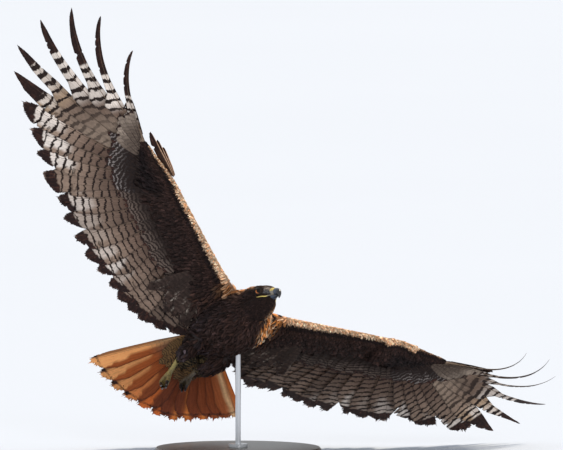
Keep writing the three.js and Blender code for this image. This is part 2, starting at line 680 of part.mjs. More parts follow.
// Tail: the rump's coverts, and twelve long feathers in a fan.
const TAIL_CORE = [
  { q: -8, w: 30, top: 18, bottom: 26 },
  { q: 12, w: 29, top: 15, bottom: 20 },
  { q: 38, w: 31, top: 11.5, bottom: 15 },
  { q: 66, w: 35, top: 8.5, bottom: 10.5 },
  { q: 88, w: 37, top: 6, bottom: 6.5 },
];
const tailTurn = new THREE.Matrix4()
  .makeRotationFromEuler(new THREE.Euler(TAIL.roll * DEG, TAIL.pitch * DEG, TAIL.yaw * DEG, "ZYX"))
  .setPosition(TAIL.x, 0, TAIL.z);
const onTail = (q, y, z) => vec(-q, y, z).applyMatrix4(tailTurn);
const tailAxis = (x, y, z) => vec(x, y, z).transformDirection(tailTurn);
const tailCore = loft(
  TAIL_CORE.map((s) => {
    const size = { w: s.w, top: s.top, bottom: s.bottom };
    return oval(onTail(s.q, 0, -2), tailAxis(0, 1, 0), tailAxis(0, 0, 1), size, 22);
  }),
);
// The vane shapes: half widths on the leading and trailing side at shares of the length.
// A finger feather narrows at its notch, on both sides.
const finger = (notch, outer, [lead, trail]) => ({
  lead: [[0, 4], [0.1, outer * 0.8], [notch, outer], [notch + 0.1, lead], [0.93, lead * 0.7], [1, 3]],
  trail: [[0, 4], [0.1, 9], [notch - 0.16, 27], [notch, 30], [notch + 0.1, trail], [1, 4]],
  stations: [-0.04, notch * 0.5, notch, ...[0, 1, 2, 3].map((k) => mix(notch + 0.1, 1, k / 3))],
  blunt: 12,
  notch,
});
const NOTCHES = [0.7, 0.6, 0.53, 0.46, 0.39, 0.31];
const OUTER_VANES = [10, 9, 8.5, 8, 7.5, 5];
const BROAD = {
  lead: [[0, 4], [0.12, 7], [0.35, 13], [0.8, 14], [1, 8]],
  trail: [[0, 4], [0.12, 10], [0.35, 31], [0.8, 34], [1, 20]],
  stations: [-0.03, 0.35, 0.7, 0.9, 1],
  blunt: 9,
};
const INNERMOST_PRIMARY = { ...BROAD, trail: [[0, 4], [0.12, 14], [0.35, 38], [0.8, 48], [1, 34]] };
const OUTERMOST_SECONDARY = { ...BROAD, lead: [[0, 4], [0.12, 9], [0.35, 22], [0.8, 30], [1, 22]] };
const COVERT = {
  lead: [[0, 5], [0.5, 10], [1, 6]],
  trail: [[0, 5], [0.5, 14], [1, 9]],
  stations: [0, 0.5, 1],
  blunt: 9,
};
const TAIL_VANE = {
  lead: [[0, 4], [0.15, 7], [0.35, 14], [0.8, 19], [1, 13]],
  trail: [[0, 4], [0.15, 9], [0.35, 20], [0.8, 32], [1, 20]],
  stations: [0.06, 0.36, 0.8, 1],
  blunt: 8,
};
const SINK_OF_COVERTS = 30;
const COVERT_LENGTH = 84;
const COVERT_ABOVE = 3.8;
const COVERT_BELOW = -4.6;

const bladeOf = (shape) => ({
  stations: shape.stations,
  blunt: shape.blunt,
  leadWidth: (t) => along(shape.lead, t),
  trailWidth: (t) => along(shape.trail, t),
  thickness: VANE_THICKNESS,
  notch: shape.notch || 1,
});

const primaryShape = (w, k) => {
  if (k === 0) return INNERMOST_PRIMARY;
  return k < 4 ? BROAD : finger(NOTCHES[k - 4], OUTER_VANES[k - 4], w.fingers[k - 4]);
};

// A row of flight feathers from the body outwards. Each leans so that its trailing vane
// passes under its inner neighbour.
function row(feathers, shapeOf, noise) {
  return feathers.map((f, k) => {
    const shape = shapeOf(k);
    const free = shape.notch || 1;
    const lean = (t) =>
      leanOf(f, feathers[k - 1], feathers[k + 1], clamp01(Math.min(t, free)) * f.length);
    const length = f.length * (1 + 0.02 * noise());
    const blade = bladeOf(shape);
    const trailWidth = (t) => Math.min(blade.trailWidth(t), 8 + 0.17 * Math.max(0, t) * length);
    return vane({ ...f, ...blade, trailWidth, length, lean });
  });
}

// The greater coverts lie over the same shafts, above or below.
function covertRow(feathers, offset, noise) {
  return feathers.map((f, k) => {
    const start = SINK_OF_COVERTS - 6;
    const length = COVERT_LENGTH * (1 + 0.1 * noise()) * clamp01(f.length / 200);
    const lean = (t) => leanOf(f, feathers[k - 1], feathers[k + 1], start + t * length);
    const root = f.root.clone().addScaledVector(f.along, start).addScaledVector(f.up, offset);
    const blade = bladeOf(COVERT);
    const leadWidth = (t) => blade.leadWidth(t) * (f.outermost ? 0.5 : 1);
    return vane({ ...f, ...blade, leadWidth, root, length, lean, bend: 0, roll: 0, curve: 0 });
  });
}

const ARM_CORE = [
  { s: -0.16, end: 150, h: 14, d: 17 },
  { s: 0.04, end: 136, h: 15, d: 17 },
  { s: 0.2, end: 116, h: 14, d: 15 },
  { s: 0.45, end: 92, h: 12, d: 12.5 },
  { s: 0.72, end: 72, h: 10.5, d: 11.5 },
  { s: 0.95, end: 59, h: 9.5, d: 10.5 },
  { s: 1.14, end: 56, h: 9, d: 10 },
];
const HAND_CORE = [
  { q: -28, end: 60, h: 9, d: 10 },
  { q: 4, end: 57, h: 8.8, d: 9.6 },
  { q: 34, end: 50, h: 7.6, d: 8.4 },
  { q: 66, end: 39, h: 6.4, d: 7 },
  { q: 96, end: 25, h: 5, d: 5.6 },
  { q: 120, end: 13, h: 2.6, d: 2.8 },
];
const CORE_EDGE = 4.7;
const ALULA = [
  { ahead: 2, length: 100, lift: 0 },
  { ahead: 5, length: 80, lift: 1.5 },
  { ahead: 8, length: 62, lift: 3 },
];
const ALULA_VANE = {
  lead: [[0, 4], [0.3, 6], [0.75, 6], [1, 3]],
  trail: [[0, 4], [0.3, 11], [0.75, 11], [1, 4]],
  stations: [0, 0.4, 0.8, 1],
  blunt: 9,
};

for (const tag of ["R", "L"]) {
  const w = wingPlan(WINGS[tag]);
  const noise = seeded(tag === "R" ? 11 : 23);
  const ring = (frame, from, out, nose, r, grow) => {
    const start = from.clone().addScaledVector(frame.out, out).addScaledVector(frame.back, nose - grow);
    const chord = r.end - nose + 2 * grow;
    return foilRing(start, frame.back, frame.up, chord, r.h + grow, r.d + grow, CORE_EDGE);
  };
  const armForm = (grow) =>
    loft(ARM_CORE.map((r, k) => ring(w.arm, w.shoulder, r.s * ARM_LENGTH, w.armNose[k], r, grow)));
  const handForm = (grow) =>
    loft(HAND_CORE.map((r, k) => ring(w.hand, w.wrist, r.q, w.handNose[k], r, grow)));

  // The arm and the hand part along one cut between the first secondary and the first primary.
  const inner = w.secondaries[0];
  const outer = w.primaries[0];
  const between = outer.root.clone().add(inner.root).multiplyScalar(0.5);
  const run = outer.along.clone().add(inner.along).normalize();
  const cutSide = run.clone().cross(outer.up.clone().add(inner.up)).normalize();
  if (cutSide.dot(w.hand.out) < 0) cutSide.negate();
  const armward = cutSide.clone().negate();
  const armEdge = between.clone().addScaledVector(cutSide, -GAP / 2);
  const handEdge = between.clone().addScaledVector(cutSide, GAP / 2);

  const fromBody = [...w.secondaries].reverse();
  const arm = fuse([
    armForm(0),
    ...row(fromBody, (k) => (k === SECONDARY_COUNT - 1 ? OUTERMOST_SECONDARY : BROAD), noise),
    ...covertRow(fromBody, COVERT_ABOVE, noise),
    ...covertRow(fromBody, COVERT_BELOW, noise),
  ]);
  const hand = fuse([
    handForm(0),
    ...row(w.primaries, (k) => primaryShape(w, k), noise),
    ...covertRow(w.primaries, COVERT_ABOVE, noise),
    ...covertRow(w.primaries, COVERT_BELOW, noise),
  ]);
  const armCut = keep(arm, armEdge, armward).subtract(grown).subtract(rodHole);
  add(`wing_${tag}_arm`, fuse([armCut]), FLIGHT);
  const handCut = fuse([keep(hand, handEdge, cutSide)]);
  add(`wing_${tag}_hand`, handCut, FLIGHT);

  // Alula: three short feathers on the thumb, at the front of the wrist.
  const noseThere = w.handNose[1];
  const thumb = w.wrist.clone().addScaledVector(w.hand.out, w.alula.out);
  thumb.addScaledVector(w.hand.back, noseThere + 5).addScaledVector(w.hand.up, 6.5);
  const alulaFeathers = ALULA.map((a) => {
    const angle = (w.alula.angle - a.ahead) * DEG;
    const c = Math.cos(angle);
    const sn = Math.sin(angle);
    return vane({
      root: thumb
        .clone()
        .addScaledVector(w.hand.up, a.lift)
        .addScaledVector(w.hand.back, -a.ahead * 0.3),
      along: w.hand.out.clone().multiplyScalar(c).addScaledVector(w.hand.back, sn),
      lead: w.hand.out.clone().multiplyScalar(sn).addScaledVector(w.hand.back, -c),
      up: w.hand.up,
      ...bladeOf(ALULA_VANE),
      length: a.length,
      bend: 4,
      curve: 3,
      lean: () => 0.03,
    });
  });
  const thumbCore = limb(
    [
      thumb.clone().addScaledVector(w.hand.out, -8),
      thumb.clone().addScaledVector(w.hand.out, 10).addScaledVector(w.hand.up, 1),
      thumb.clone().addScaledVector(w.hand.out, 26).addScaledVector(w.hand.up, 1),
    ],
    [4.2, 5, 3.6],
    8,
    2,
  );
  const alula = fuse([thumbCore, ...alulaFeathers]).subtract(handForm(GAP)).subtract(armForm(GAP));
  add(`alula_${tag}`, fuse([alula]), FLIGHT);
}

// The tail's vanes lie in layers, the middle pair on top.
const tailNoise = seeded(5);
const tailVanes = [];
for (let k = 0; k < TAIL_FEATHERS; k += 1) {
  const u = (k - 5.5) / 5.5;
  const angle = (u * TAIL.angles[0] + u * u * TAIL.angles[1] + u ** 3 * TAIL.angles[2]) * DEG;
  const shorter = Math.abs(u) * TAIL.shorter[0] + u * u * TAIL.shorter[1];
  const outward = u < 0 ? -1 : 1;
  const blade = bladeOf(TAIL_VANE);
  const rank = k < 6 ? 5 - k : k - 6 + 0.5;
  const c = Math.cos(angle);
  const s = Math.sin(angle);
  tailVanes.push(
    vane({
      root: onTail(0, u * 14, 3 - rank * PITCH_OF_LAYERS),
      along: tailAxis(-c, s, 0),
      lead: tailAxis(s, c, 0).multiplyScalar(outward),
      up: tailAxis(0, 0, 1),
      ...blade,
      leadWidth: (t) => blade.leadWidth(t) * (1 - 0.5 * u ** 4),
      length: TAIL.length * (1 - shorter) * (1 + 0.015 * tailNoise()),
      bend: 0,
      curve: 0,
      lean: () => 0,
    }),
  );
}
const tail = keep(fuse([tailCore, ...tailVanes]), vec(-112 - GAP, 0, 0), back);
add("tail", fuse([tail]), RUFOUS);

add("stand_base", base, WOOD, standGroup);
add("stand_rod", rod, STEEL, standGroup);
scene.add(bird, standGroup);
export default scene;
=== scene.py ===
# %% [markdown]
# # A dark red tailed hawk, soaring in a banked turn
# The bird is shown at life size on a plain display stand, seen a little from below, so the
# undersides of both wings and of the spread tail face the camera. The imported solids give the
# frame: every piece here is set where the solids are, in metres.

# %% Load the frame
import json
import math

import bmesh
import bpy
import numpy as np
from mathutils import Euler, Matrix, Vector
from mathutils.bvhtree import BVHTree

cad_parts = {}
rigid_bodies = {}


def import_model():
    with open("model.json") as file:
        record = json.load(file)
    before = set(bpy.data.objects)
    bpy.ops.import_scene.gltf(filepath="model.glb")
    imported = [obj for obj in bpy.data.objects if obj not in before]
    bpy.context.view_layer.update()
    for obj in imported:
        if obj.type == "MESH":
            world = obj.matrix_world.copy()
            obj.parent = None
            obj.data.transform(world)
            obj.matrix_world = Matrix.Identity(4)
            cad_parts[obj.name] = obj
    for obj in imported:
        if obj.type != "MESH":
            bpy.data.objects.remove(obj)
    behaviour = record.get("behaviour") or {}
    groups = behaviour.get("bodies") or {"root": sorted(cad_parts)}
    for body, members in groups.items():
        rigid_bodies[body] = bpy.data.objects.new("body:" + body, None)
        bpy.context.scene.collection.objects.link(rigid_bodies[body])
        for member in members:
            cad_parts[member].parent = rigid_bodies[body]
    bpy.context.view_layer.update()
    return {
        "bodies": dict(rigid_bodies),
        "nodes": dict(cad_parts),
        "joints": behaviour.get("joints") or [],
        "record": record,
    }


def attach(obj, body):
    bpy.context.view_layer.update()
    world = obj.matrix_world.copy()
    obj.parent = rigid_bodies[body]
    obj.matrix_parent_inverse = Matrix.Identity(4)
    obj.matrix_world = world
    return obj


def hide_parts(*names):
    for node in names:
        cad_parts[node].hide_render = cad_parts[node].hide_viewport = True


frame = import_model()
scene = bpy.context.scene

# %% [markdown]
# ## Where things are
# The hawk was drawn in a frame of its own: +X runs to the bill, +Y to its left, +Z to its back,
# in millimetres. One turn and one shift bring that frame over the stand. Head and tail are
# turned once more against the body.

# %% The body's, the head's and the tail's own frames
def turn_of(roll, pitch, yaw):
    angles = (math.radians(roll), math.radians(pitch), math.radians(yaw))
    return np.array(Euler(angles, "XYZ").to_matrix())


BODY_TURN = turn_of(-36.4, -22.6, -51.3)
BODY_AT = np.array([-11.0, 0.0, 240.0])
HEAD_TURN = turn_of(14.5, 1.3, 8)
HEAD_AT = np.array([120.0, -13.0, 7.0])
TAIL_TURN = turn_of(10.9, -17, -21.9)
TAIL_AT = np.array([-102.0, 0.0, 19.0])


def placed(points):
    """Millimetres on the bird to metres over the stand."""
    return (np.asarray(points, float) @ BODY_TURN.T + BODY_AT) / 1000


def turned(direction):
    """A direction on the bird as it points over the stand."""
    return np.asarray(direction, float) @ BODY_TURN.T


def on_bird(points):
    """Metres over the stand back to millimetres on the bird."""
    return (np.asarray(points, float) * 1000 - BODY_AT) @ BODY_TURN


def on_head(points):
    """Millimetres in the head's frame to millimetres on the bird."""
    return np.asarray(points, float) @ HEAD_TURN.T + HEAD_AT


def from_head(points):
    return (np.asarray(points, float) - HEAD_AT) @ HEAD_TURN


def on_tail(q, y, z):
    return np.array([-q, y, z], float) @ TAIL_TURN.T + TAIL_AT


def from_tail(points):
    return (np.asarray(points, float) - TAIL_AT) @ TAIL_TURN


print("the bill points along", np.round(turned(HEAD_TURN[:, 0]), 2))


# %% Small sums
def mirrored(place, side):
    """A place or direction on the left, as it is on the side: 1 is left, -1 right."""
    return np.asarray(place, float) * np.array([1, side, 1])


def unit(v):
    """Directions of length one."""
    v = np.asarray(v, float)
    return v / np.maximum(np.linalg.norm(v, axis=-1, keepdims=True), 1e-9)


def smooth(t):
    t = np.clip(t, 0, 1)
    return t * t * (3 - 2 * t)


def ramp(x, low, high):
    """From 0 at low to 1 at high, eased at both ends."""
    return smooth((np.asarray(x, float) - low) / (high - low))


def blend(a, b, t):
    return a + (b - a) * t


def dyed(tone, colour, share):
    """Tones drawn towards a colour, each point by its own share."""
    return blend(tone, colour, share[:, None])


def linear(red, green, blue):
    """A colour as the eye counts it, 0 to 255, in the renderer's linear scale."""
    c = np.array([red, green, blue]) / 255
    return np.where(c <= 0.04045, c / 12.92, ((c + 0.055) / 1.055) ** 2.4)


print("mid grey in linear light", np.round(linear(128, 128, 128), 3))

# %% [markdown]
# ## Camera, floor and light
# The bird is seen with a very long lens from four degrees above the floor, so distances hardly
# change its scale. The light is soft from all sides, as under a pale sky, with one warm lamp
# high behind the bird: it lights the front edges of the wings and the nape, and leaves the
# undersides in open shade.

# %% Camera
ELEVATION = math.radians(4)
VIEW_WIDTH = 1.0129
LENS = 1200.0
SENSOR = 36.0
view_back = Vector((0, -math.cos(ELEVATION), math.sin(ELEVATION)))
target = Vector((0.0781, 0.0123, 0.4159))
distance = VIEW_WIDTH * LENS / SENSOR
camera_data = bpy.data.cameras.new("camera")
camera_data.lens = LENS
camera_data.sensor_width = SENSOR
camera_data.clip_end = 200
camera = bpy.data.objects.new("camera", camera_data)
camera.location = target + view_back * distance
camera.rotation_euler = (math.radians(90) - ELEVATION, 0, 0)
scene.collection.objects.link(camera)
scene.camera = camera
print("camera", tuple(round(v, 3) for v in camera.location))

# %% Light
SKY_COLOUR = (0.93, 0.965, 1.0, 1)
SKY_STRENGTH = 0.85
scene.view_settings.view_transform = "Standard"
world = bpy.data.worlds.new("soft light")
world.use_nodes = True
sky = world.node_tree.nodes["Background"]
sky.inputs[0].default_value = SKY_COLOUR
sky.inputs[1].default_value = SKY_STRENGTH
scene.world = world


def lamp(name, kind, place, aim, power, colour, size):
    data = bpy.data.lights.new(name, kind)
    data.energy = power
    data.color = colour
    if kind == "SUN":
        data.angle = size
    else:
        data.size = size
        data.shape = "DISK"
    holder = bpy.data.objects.new(name, data)
    holder.location = place
    holder.rotation_euler = (Vector(aim) - Vector(place)).to_track_quat("-Z", "Y").to_euler()
    scene.collection.objects.link(holder)


lamp("warm_key", "SUN", (1.6, 1.4, 3.4), (0, 0, 0.4), 3.2, (1.0, 0.86, 0.68), math.radians(10))
lamp("eye_light", "AREA", (0.95, -3.6, 1.85), (0.1, 0, 0.45), 18, (1.0, 0.97, 0.95), 0.9)
print("sky of strength", SKY_STRENGTH, "and", len(bpy.data.lights), "lamps")

# %% [markdown]
# ## Shader sums
# Materials are written as sums: one small class wraps a socket, so that adding or multiplying
# it makes the Math node. All other nodes come from one method.

# %% The socket class
class Wire:
    def __init__(self, tree, socket=None):
        self.tree = tree
        self.socket = socket

    def node(self, kind, settings=None, sockets=None, out=0):
        made = self.tree.nodes.new(kind)
        for key, value in (settings or {}).items():
            setattr(made, key, value)
        for key, value in (sockets or {}).items():
            if isinstance(value, Wire):
                self.tree.links.new(value.socket, made.inputs[key])
            elif made.inputs[key].type == "RGBA":
                made.inputs[key].default_value = (*value, 1)
            else:
                made.inputs[key].default_value = value
        return Wire(self.tree, made.outputs[out])

    def channels(self):
        """The three numbers that a colour carries."""
        first = self.node("ShaderNodeSeparateColor", None, {0: self})
        return [Wire(self.tree, out) for out in first.socket.node.outputs]

    def maths(self, operation, a, b=0.0):
        return self.node("ShaderNodeMath", {"operation": operation}, {0: a, 1: b})

    def __add__(self, other):
        return self.maths("ADD", self, other)

    def __sub__(self, other):
        return self.maths("SUBTRACT", self, other)

    def __rsub__(self, other):
        return self.maths("SUBTRACT", other, self)

    def __mul__(self, other):
        return self.maths("MULTIPLY", self, other)

    def __truediv__(self, other):
        return self.maths("DIVIDE", self, other)

    __radd__, __rmul__ = __add__, __mul__

    def sine(self):
        return self.maths("SINE", self)

    def size(self):
        return self.maths("ABSOLUTE", self)

    def part(self):
        return self.maths("FRACT", self)

    def step(self, low, high):
        """From 0 to 1 between two values, eased."""
        settings = {"interpolation_type": "SMOOTHSTEP"}
        return self.node("ShaderNodeMapRange", settings, {0: self, 1: low, 2: high})

    def mix(self, a, b):
        """The colour a where this is 0 and b where it is 1."""
        settings = {"data_type": "RGBA"}
        return self.node("ShaderNodeMix", settings, {0: self, 6: a, 7: b}, out=2)

    def shade(self, colour):
        """A colour made lighter or darker by this number."""
        grey = self.node("ShaderNodeCombineColor", None, {0: self, 1: self, 2: self})
        settings = {"data_type": "RGBA", "blend_type": "MULTIPLY"}
        return self.node("ShaderNodeMix", settings, {0: 1.0, 6: colour, 7: grey}, out=2)

    def attribute(self, name, out="Fac"):
        return self.node("ShaderNodeAttribute", {"attribute_name": name}, None, out)

    def place(self):
        return self.node("ShaderNodeTexCoord", None, None, "Object")

    def noise(self, vector, scale, detail=2.0):
        sockets = {"Vector": vector, "Scale": scale, "Detail": detail}
        return self.node("ShaderNodeTexNoise", None, sockets)

    def along(self, direction, origin):
        """How far a point lies along a direction from an origin, in metres."""
        settings = {"operation": "SUBTRACT"}
        offset = self.node("ShaderNodeVectorMath", settings, {0: self.place(), 1: tuple(origin)})
        settings = {"operation": "DOT_PRODUCT"}
        sockets = {0: offset, 1: tuple(direction)}
        return self.node("ShaderNodeVectorMath", settings, sockets, out="Value")

    def bump(self, height, strength, distance):
        sockets = {"Height": height, "Strength": strength, "Distance": distance}
        return self.node("ShaderNodeBump", None, sockets)


# %% Materials from sums
def finish(name, paint, **fixed):
    """A material whose shader's varying sockets come from paint(wire)."""
    material = bpy.data.materials.new(name)
    material.use_nodes = True
    tree = material.node_tree
    shader = tree.nodes["Principled BSDF"]
    for key, value in fixed.items():
        shader.inputs[key.replace("_", " ")].default_value = value
    for key, value in paint(Wire(tree)).items():
        tree.links.new(value.socket, shader.inputs[key])
    return material


# %% Floor
def floor_paint(w):
    cloud = w.noise(w.place(), 0.6)
    return {"Base Color": cloud.mix((0.53, 0.582, 0.672), (0.545, 0.598, 0.69))}


floor_finish = finish("floor_paper", floor_paint, Roughness=0.9)
bpy.ops.object.select_all(action="DESELECT")
bpy.ops.mesh.primitive_grid_add(x_subdivisions=8, y_subdivisions=8, size=120)
floor = bpy.context.object
floor.name = "floor"
floor.data.materials.append(floor_finish)
print("floor of", len(floor.data.polygons), "faces")

# %% [markdown]
# ## Lofting by hand
# Flesh, bill, toes and claws are all rings that follow one another. By hand this is a circle
# that is extruded again and again, and each new ring is moved and scaled to its place. Here
# the extrude operator adds each ring, and the ring's points are then laid on a named station.

# %% The loft helper
def loft(name, rings):
    """A closed piece over rings of equal length, given in metres over the stand."""
    count = len(rings[0])
    bpy.ops.object.select_all(action="DESELECT")
    bpy.ops.mesh.primitive_circle_add(vertices=count, radius=0.01)
    piece = bpy.context.object
    piece.name = name
    bpy.ops.object.mode_set(mode="EDIT")
    mesh = bmesh.from_edit_mesh(piece.data)
    slot = mesh.verts.layers.int.new("slot")
    for k, v in enumerate(mesh.verts):
        v[slot] = k
        v.co = rings[0][k]
    for ring in rings[1:]:
        bpy.ops.mesh.extrude_edges_move()
        mesh = bmesh.from_edit_mesh(piece.data)
        slot = mesh.verts.layers.int["slot"]
        for v in mesh.verts:
            if v.select:
                v.co = ring[v[slot]]
    for ring in (rings[-1], rings[0]):
        mesh = bmesh.from_edit_mesh(piece.data)
        slot = mesh.verts.layers.int["slot"]
        bpy.ops.mesh.select_all(action="DESELECT")
        bpy.ops.mesh.select_mode(type="EDGE")
        wanted = [Vector(p) for p in ring]
        for e in mesh.edges:
            a, b = e.verts
            near = (a.co - wanted[a[slot]]).length < 1e-7 and (b.co - wanted[b[slot]]).length < 1e-7
            e.select_set(e.is_boundary and near)
        bpy.ops.mesh.extrude_edges_move()
        bpy.ops.mesh.select_mode(type="VERT")
        bpy.ops.mesh.merge(type="CENTER")
    bpy.ops.mesh.select_all(action="SELECT")
    bpy.ops.mesh.normals_make_consistent(inside=False)
    bpy.ops.object.mode_set(mode="OBJECT")
    piece.data.attributes.remove(piece.data.attributes["slot"])
    return piece


# %% Rings and stations
def oval(centre, side, rise, w, top, bottom, square=2.0, count=28):
    """A ring about a centre, in millimetres, flatter or rounder above and below."""
    angle = np.arange(count) / count * 2 * math.pi
    c, s = np.cos(angle), np.sin(angle)
    u = np.sign(c) * np.abs(c) ** (2 / square) * w
    v = np.sign(s) * np.abs(s) ** (2 / square) * np.where(s > 0, top, bottom)
    return centre + u[:, None] * side + v[:, None] * rise


def stations(names, *rows):
    """Sizes at the stations of a form, each row under the same names."""
    return [dict(zip(names.split(), row)) for row in rows]


def spread(coarse, count):
    """Stations made finer: each named size is carried smoothly between its stations."""
    x = np.linspace(0, len(coarse) - 1, count)
    k = np.clip(np.floor(x).astype(int), 0, len(coarse) - 2)
    t = x - k
    fine = []
    for key in coarse[0]:
        values = np.array([s[key] for s in coarse], float)
        slope = np.gradient(values)
        size = values[k] * (2 * t**3 - 3 * t**2 + 1) + slope[k] * (t**3 - 2 * t**2 + t)
        size += values[k + 1] * (3 * t**2 - 2 * t**3) + slope[k + 1] * (t**3 - t**2)
        fine.append(size)
    return [dict(zip(coarse[0], row)) for row in zip(*fine)]


# %% Limbs
END_ROUNDING = 0.55
END_LENGTH = 0.0005


def limb(name, path, radii, count=16, rings=24, ridges=None):
    """A tapering limb along a path of millimetre points; ridges(s) may swell it."""
    coarse = stations("x y z r", *[(*p, r) for p, r in zip(path, radii)])
    fine = spread(coarse, rings)
    spine = np.array([[s["x"], s["y"], s["z"]] for s in fine])
    run = unit(np.gradient(spine, axis=0))
    side = unit(np.cross(run[0], [0.3, 0.2, 1.0]))
    made = []
    for k, s in enumerate(fine):
        side = unit(side - run[k] * np.dot(side, run[k]))
        rise = np.cross(run[k], side)
        r = s["r"] * (1 + (ridges(k / (rings - 1)) if ridges else 0))
        made.append(placed(oval(spine[k], side, rise, r, r, r, count=count)))
    start, end = (blend(ring.mean(axis=0), ring, END_ROUNDING) for ring in (made[0], made[-1]))
    start -= turned(run[0]) * radii[0] * END_LENGTH
    end += turned(run[-1]) * radii[-1] * END_LENGTH
    return loft(name, [start, *made, end])


# %% Working on finished pieces
def chosen_only(*pieces):
    """Selects these pieces and nothing else; the first is the active one."""
    bpy.ops.object.select_all(action="DESELECT")
    for piece in pieces:
        piece.select_set(True)
    bpy.context.view_layer.objects.active = pieces[0]


def joined(name, pieces):
    chosen_only(*pieces)
    bpy.ops.object.join()
    whole = bpy.context.object
    whole.name = name
    return whole


def applied(piece, kind, **settings):
    """Adds a modifier with these settings and applies it."""
    chosen_only(piece)
    modifier = piece.modifiers.new(kind.lower(), kind)
    for key, value in settings.items():
        setattr(modifier, key, value)
    bpy.ops.object.modifier_apply(modifier=modifier.name)


def softened(piece, angle):
    """Smooth shading, but for edges sharper than the angle."""
    chosen_only(piece)
    bpy.ops.object.shade_smooth_by_angle(angle=math.radians(angle))


def ball(name, centre, radii, turn, segments=48, rings=32):
    """A ball at a millimetre place on the bird, stretched along the axes of a turn."""
    bpy.ops.object.select_all(action="DESELECT")
    bpy.ops.mesh.primitive_uv_sphere_add(segments=segments, ring_count=rings, radius=1)
    piece = bpy.context.object
    piece.name = name
    points = np.array([v.co for v in piece.data.vertices]) * np.asarray(radii)
    points = placed(points @ turn.T + centre)
    for v, p in zip(piece.data.vertices, points):
        v.co = p
    return piece


# %% [markdown]
# ## The plan of a wing
# A wing is an arm and a hand, each with its own directions outwards, backwards and upwards.
# Ten primaries are rooted on the hand and thirteen secondaries on the arm. Their angles change
# a little from one to the next, which gives the fan.

# %% Measures of the two wings
WINGS = {
    "R": {
        "side": -1,
        "arm": (8.7, 15, 5.6),
        "hand": (28.7, 14.1, 6.5),
        "angles": (72.3, 66.5, -16.5),
        "curve": [5.6] * 10,
        "fan": [70.8, 64, 56, 47.2, 39.8, 33, 22.9, 13.7, 6, -5.5],
        "roll": [0, 0, 0, 0, 0, 4, 8, 14, 20, 26],
        "bend": [0, 3, 5, 5, 11, 20, 37, 58, 75, 90],
        "arm_nose": [13, 12, 8, -4, -18, -29, -31],
        "hand_nose": [-29, -31, -25, -15, -7, -2],
        "thumb": (28, 8, 5, 6, 1.0),
        "backlit_windows": {"primary": [0.9, 1, 0.9, 0.8, 0.7, 0.7, 0.6, 0.5, 0.4, 0.3],
                    "secondary": [0.7, 0.6, 0.3, 0.2, 0.5, 0.8, 0.3, 0, 0, 0, 0, 0, 0]},
        "more": {"primary": [-2, -4, -3, -1, 0, 0, 0, 0, 0, 0],
                 "secondary": [0, 0, 6, 8, 8, 7, 8, 8, 8, 7, 6, 5, 4]},
        "slits": {"primary": (2,), "secondary": (4, 7), "cut": 0.3},
        "fingers": [(8, 25), (11.5, 17), (9.5, 17), (6.5, 17), (7, 12), (6.5, 11)],
        "dark_from": [0.78, 0.86, 0.8, 0.66, 0.6, 0.55],
    },
    "L": {
        "side": 1,
        "arm": (13.2, 12.6, 5.8),
        "hand": (-4, 20.3, 18.1),
        "angles": (64.3, 89, -45),
        "curve": [2, 2, 2, 2, 3, 4, -3, -11, -12, -11.6],
        "fan": [45, 38.2, 31.8, 27.4, 22.3, 15, 9.5, 5.6, 0.2, -5.9],
        "roll": [0, 0, 0, 0, 0, 5, 10, 20, 26, 28],
        "bend": [0, 0, 0, 0, 4, 8, 18, 40, 53, 56],
        "arm_nose": [10, 8, 4, -4, -12, -17, -17],
        "hand_nose": [-16, -16, -12, -8, -5, -2],
        "thumb": (-2, 13, 2, 2, 0.35),
        "backlit_windows": {"primary": [1, 0.2, 0.5, 1, 0.8, 0.7, 0.6, 0.5, 0.4, 0.3],
                    "secondary": [0.5, 0.2, 0.8, 0.2, 0.7, 0, 0, 0, 0, 0, 0, 0, 0]},
        "more": {"primary": [-2, 0, -5, 2, 7, 6, 6, 9, 6, 6],
                 "secondary": [3, 2, 1, 9, 10, 8, 2, -6, -4, 0, 0, 0, 0]},
        "slits": {"primary": (1, 3, 6), "secondary": (4, 8), "cut": 0.56},
        "fingers": [(11, 20), (2.5, 18), (1.5, 16), (2.5, 12), (2.5, 10), (2.5, 8)],
        "dark_from": [0.78, 0.8, 0.78, 0.6, 0.5, 0.45],
    },
}
ARM_LENGTH = 236
PRIMARY_LENGTHS = [220, 231, 242, 263, 302, 322, 328, 318, 284, 202]
PRIMARY_STEP = 10.5
SECONDARY_LENGTH = 221
SECONDARIES = 13
ARM_CORE = stations(
    "s end h d",
    (-0.16, 150, 14, 17),
    (0.04, 136, 15, 17),
    (0.2, 116, 14, 15),
    (0.45, 92, 12, 12.5),
    (0.72, 72, 10.5, 11.5),
    (0.95, 59, 9.5, 10.5),
    (1.14, 56, 9, 10),
)
HAND_CORE = stations(
    "s end h d",
    (-28, 60, 9, 10),
    (4, 57, 8.8, 9.6),
    (34, 50, 7.6, 8.4),
    (66, 39, 6.4, 7),
    (96, 25, 5, 5.6),
    (120, 13, 2.6, 2.8),
)


print("arm of", ARM_LENGTH, "mm; primaries", PRIMARY_LENGTHS)


# %% Wing directions
def section(side, angles):
    """Directions of an arm or a hand from its sweep, lift and twist in degrees."""
    sweep, lift, twist = (math.radians(a) for a in angles)
    out = np.array([
        math.sin(sweep),
        side * math.cos(sweep) * math.cos(lift),
        math.cos(sweep) * math.sin(lift),
    ])
    flat_back = unit(np.array([-1.0, 0, 0]) + out * out[0])
    flat_up = np.cross(out, flat_back) * side
    back = flat_back * math.cos(twist) - flat_up * math.sin(twist)
    rise = flat_up * math.cos(twist) + flat_back * math.sin(twist)
    return {"out": out, "back": back, "up": rise}


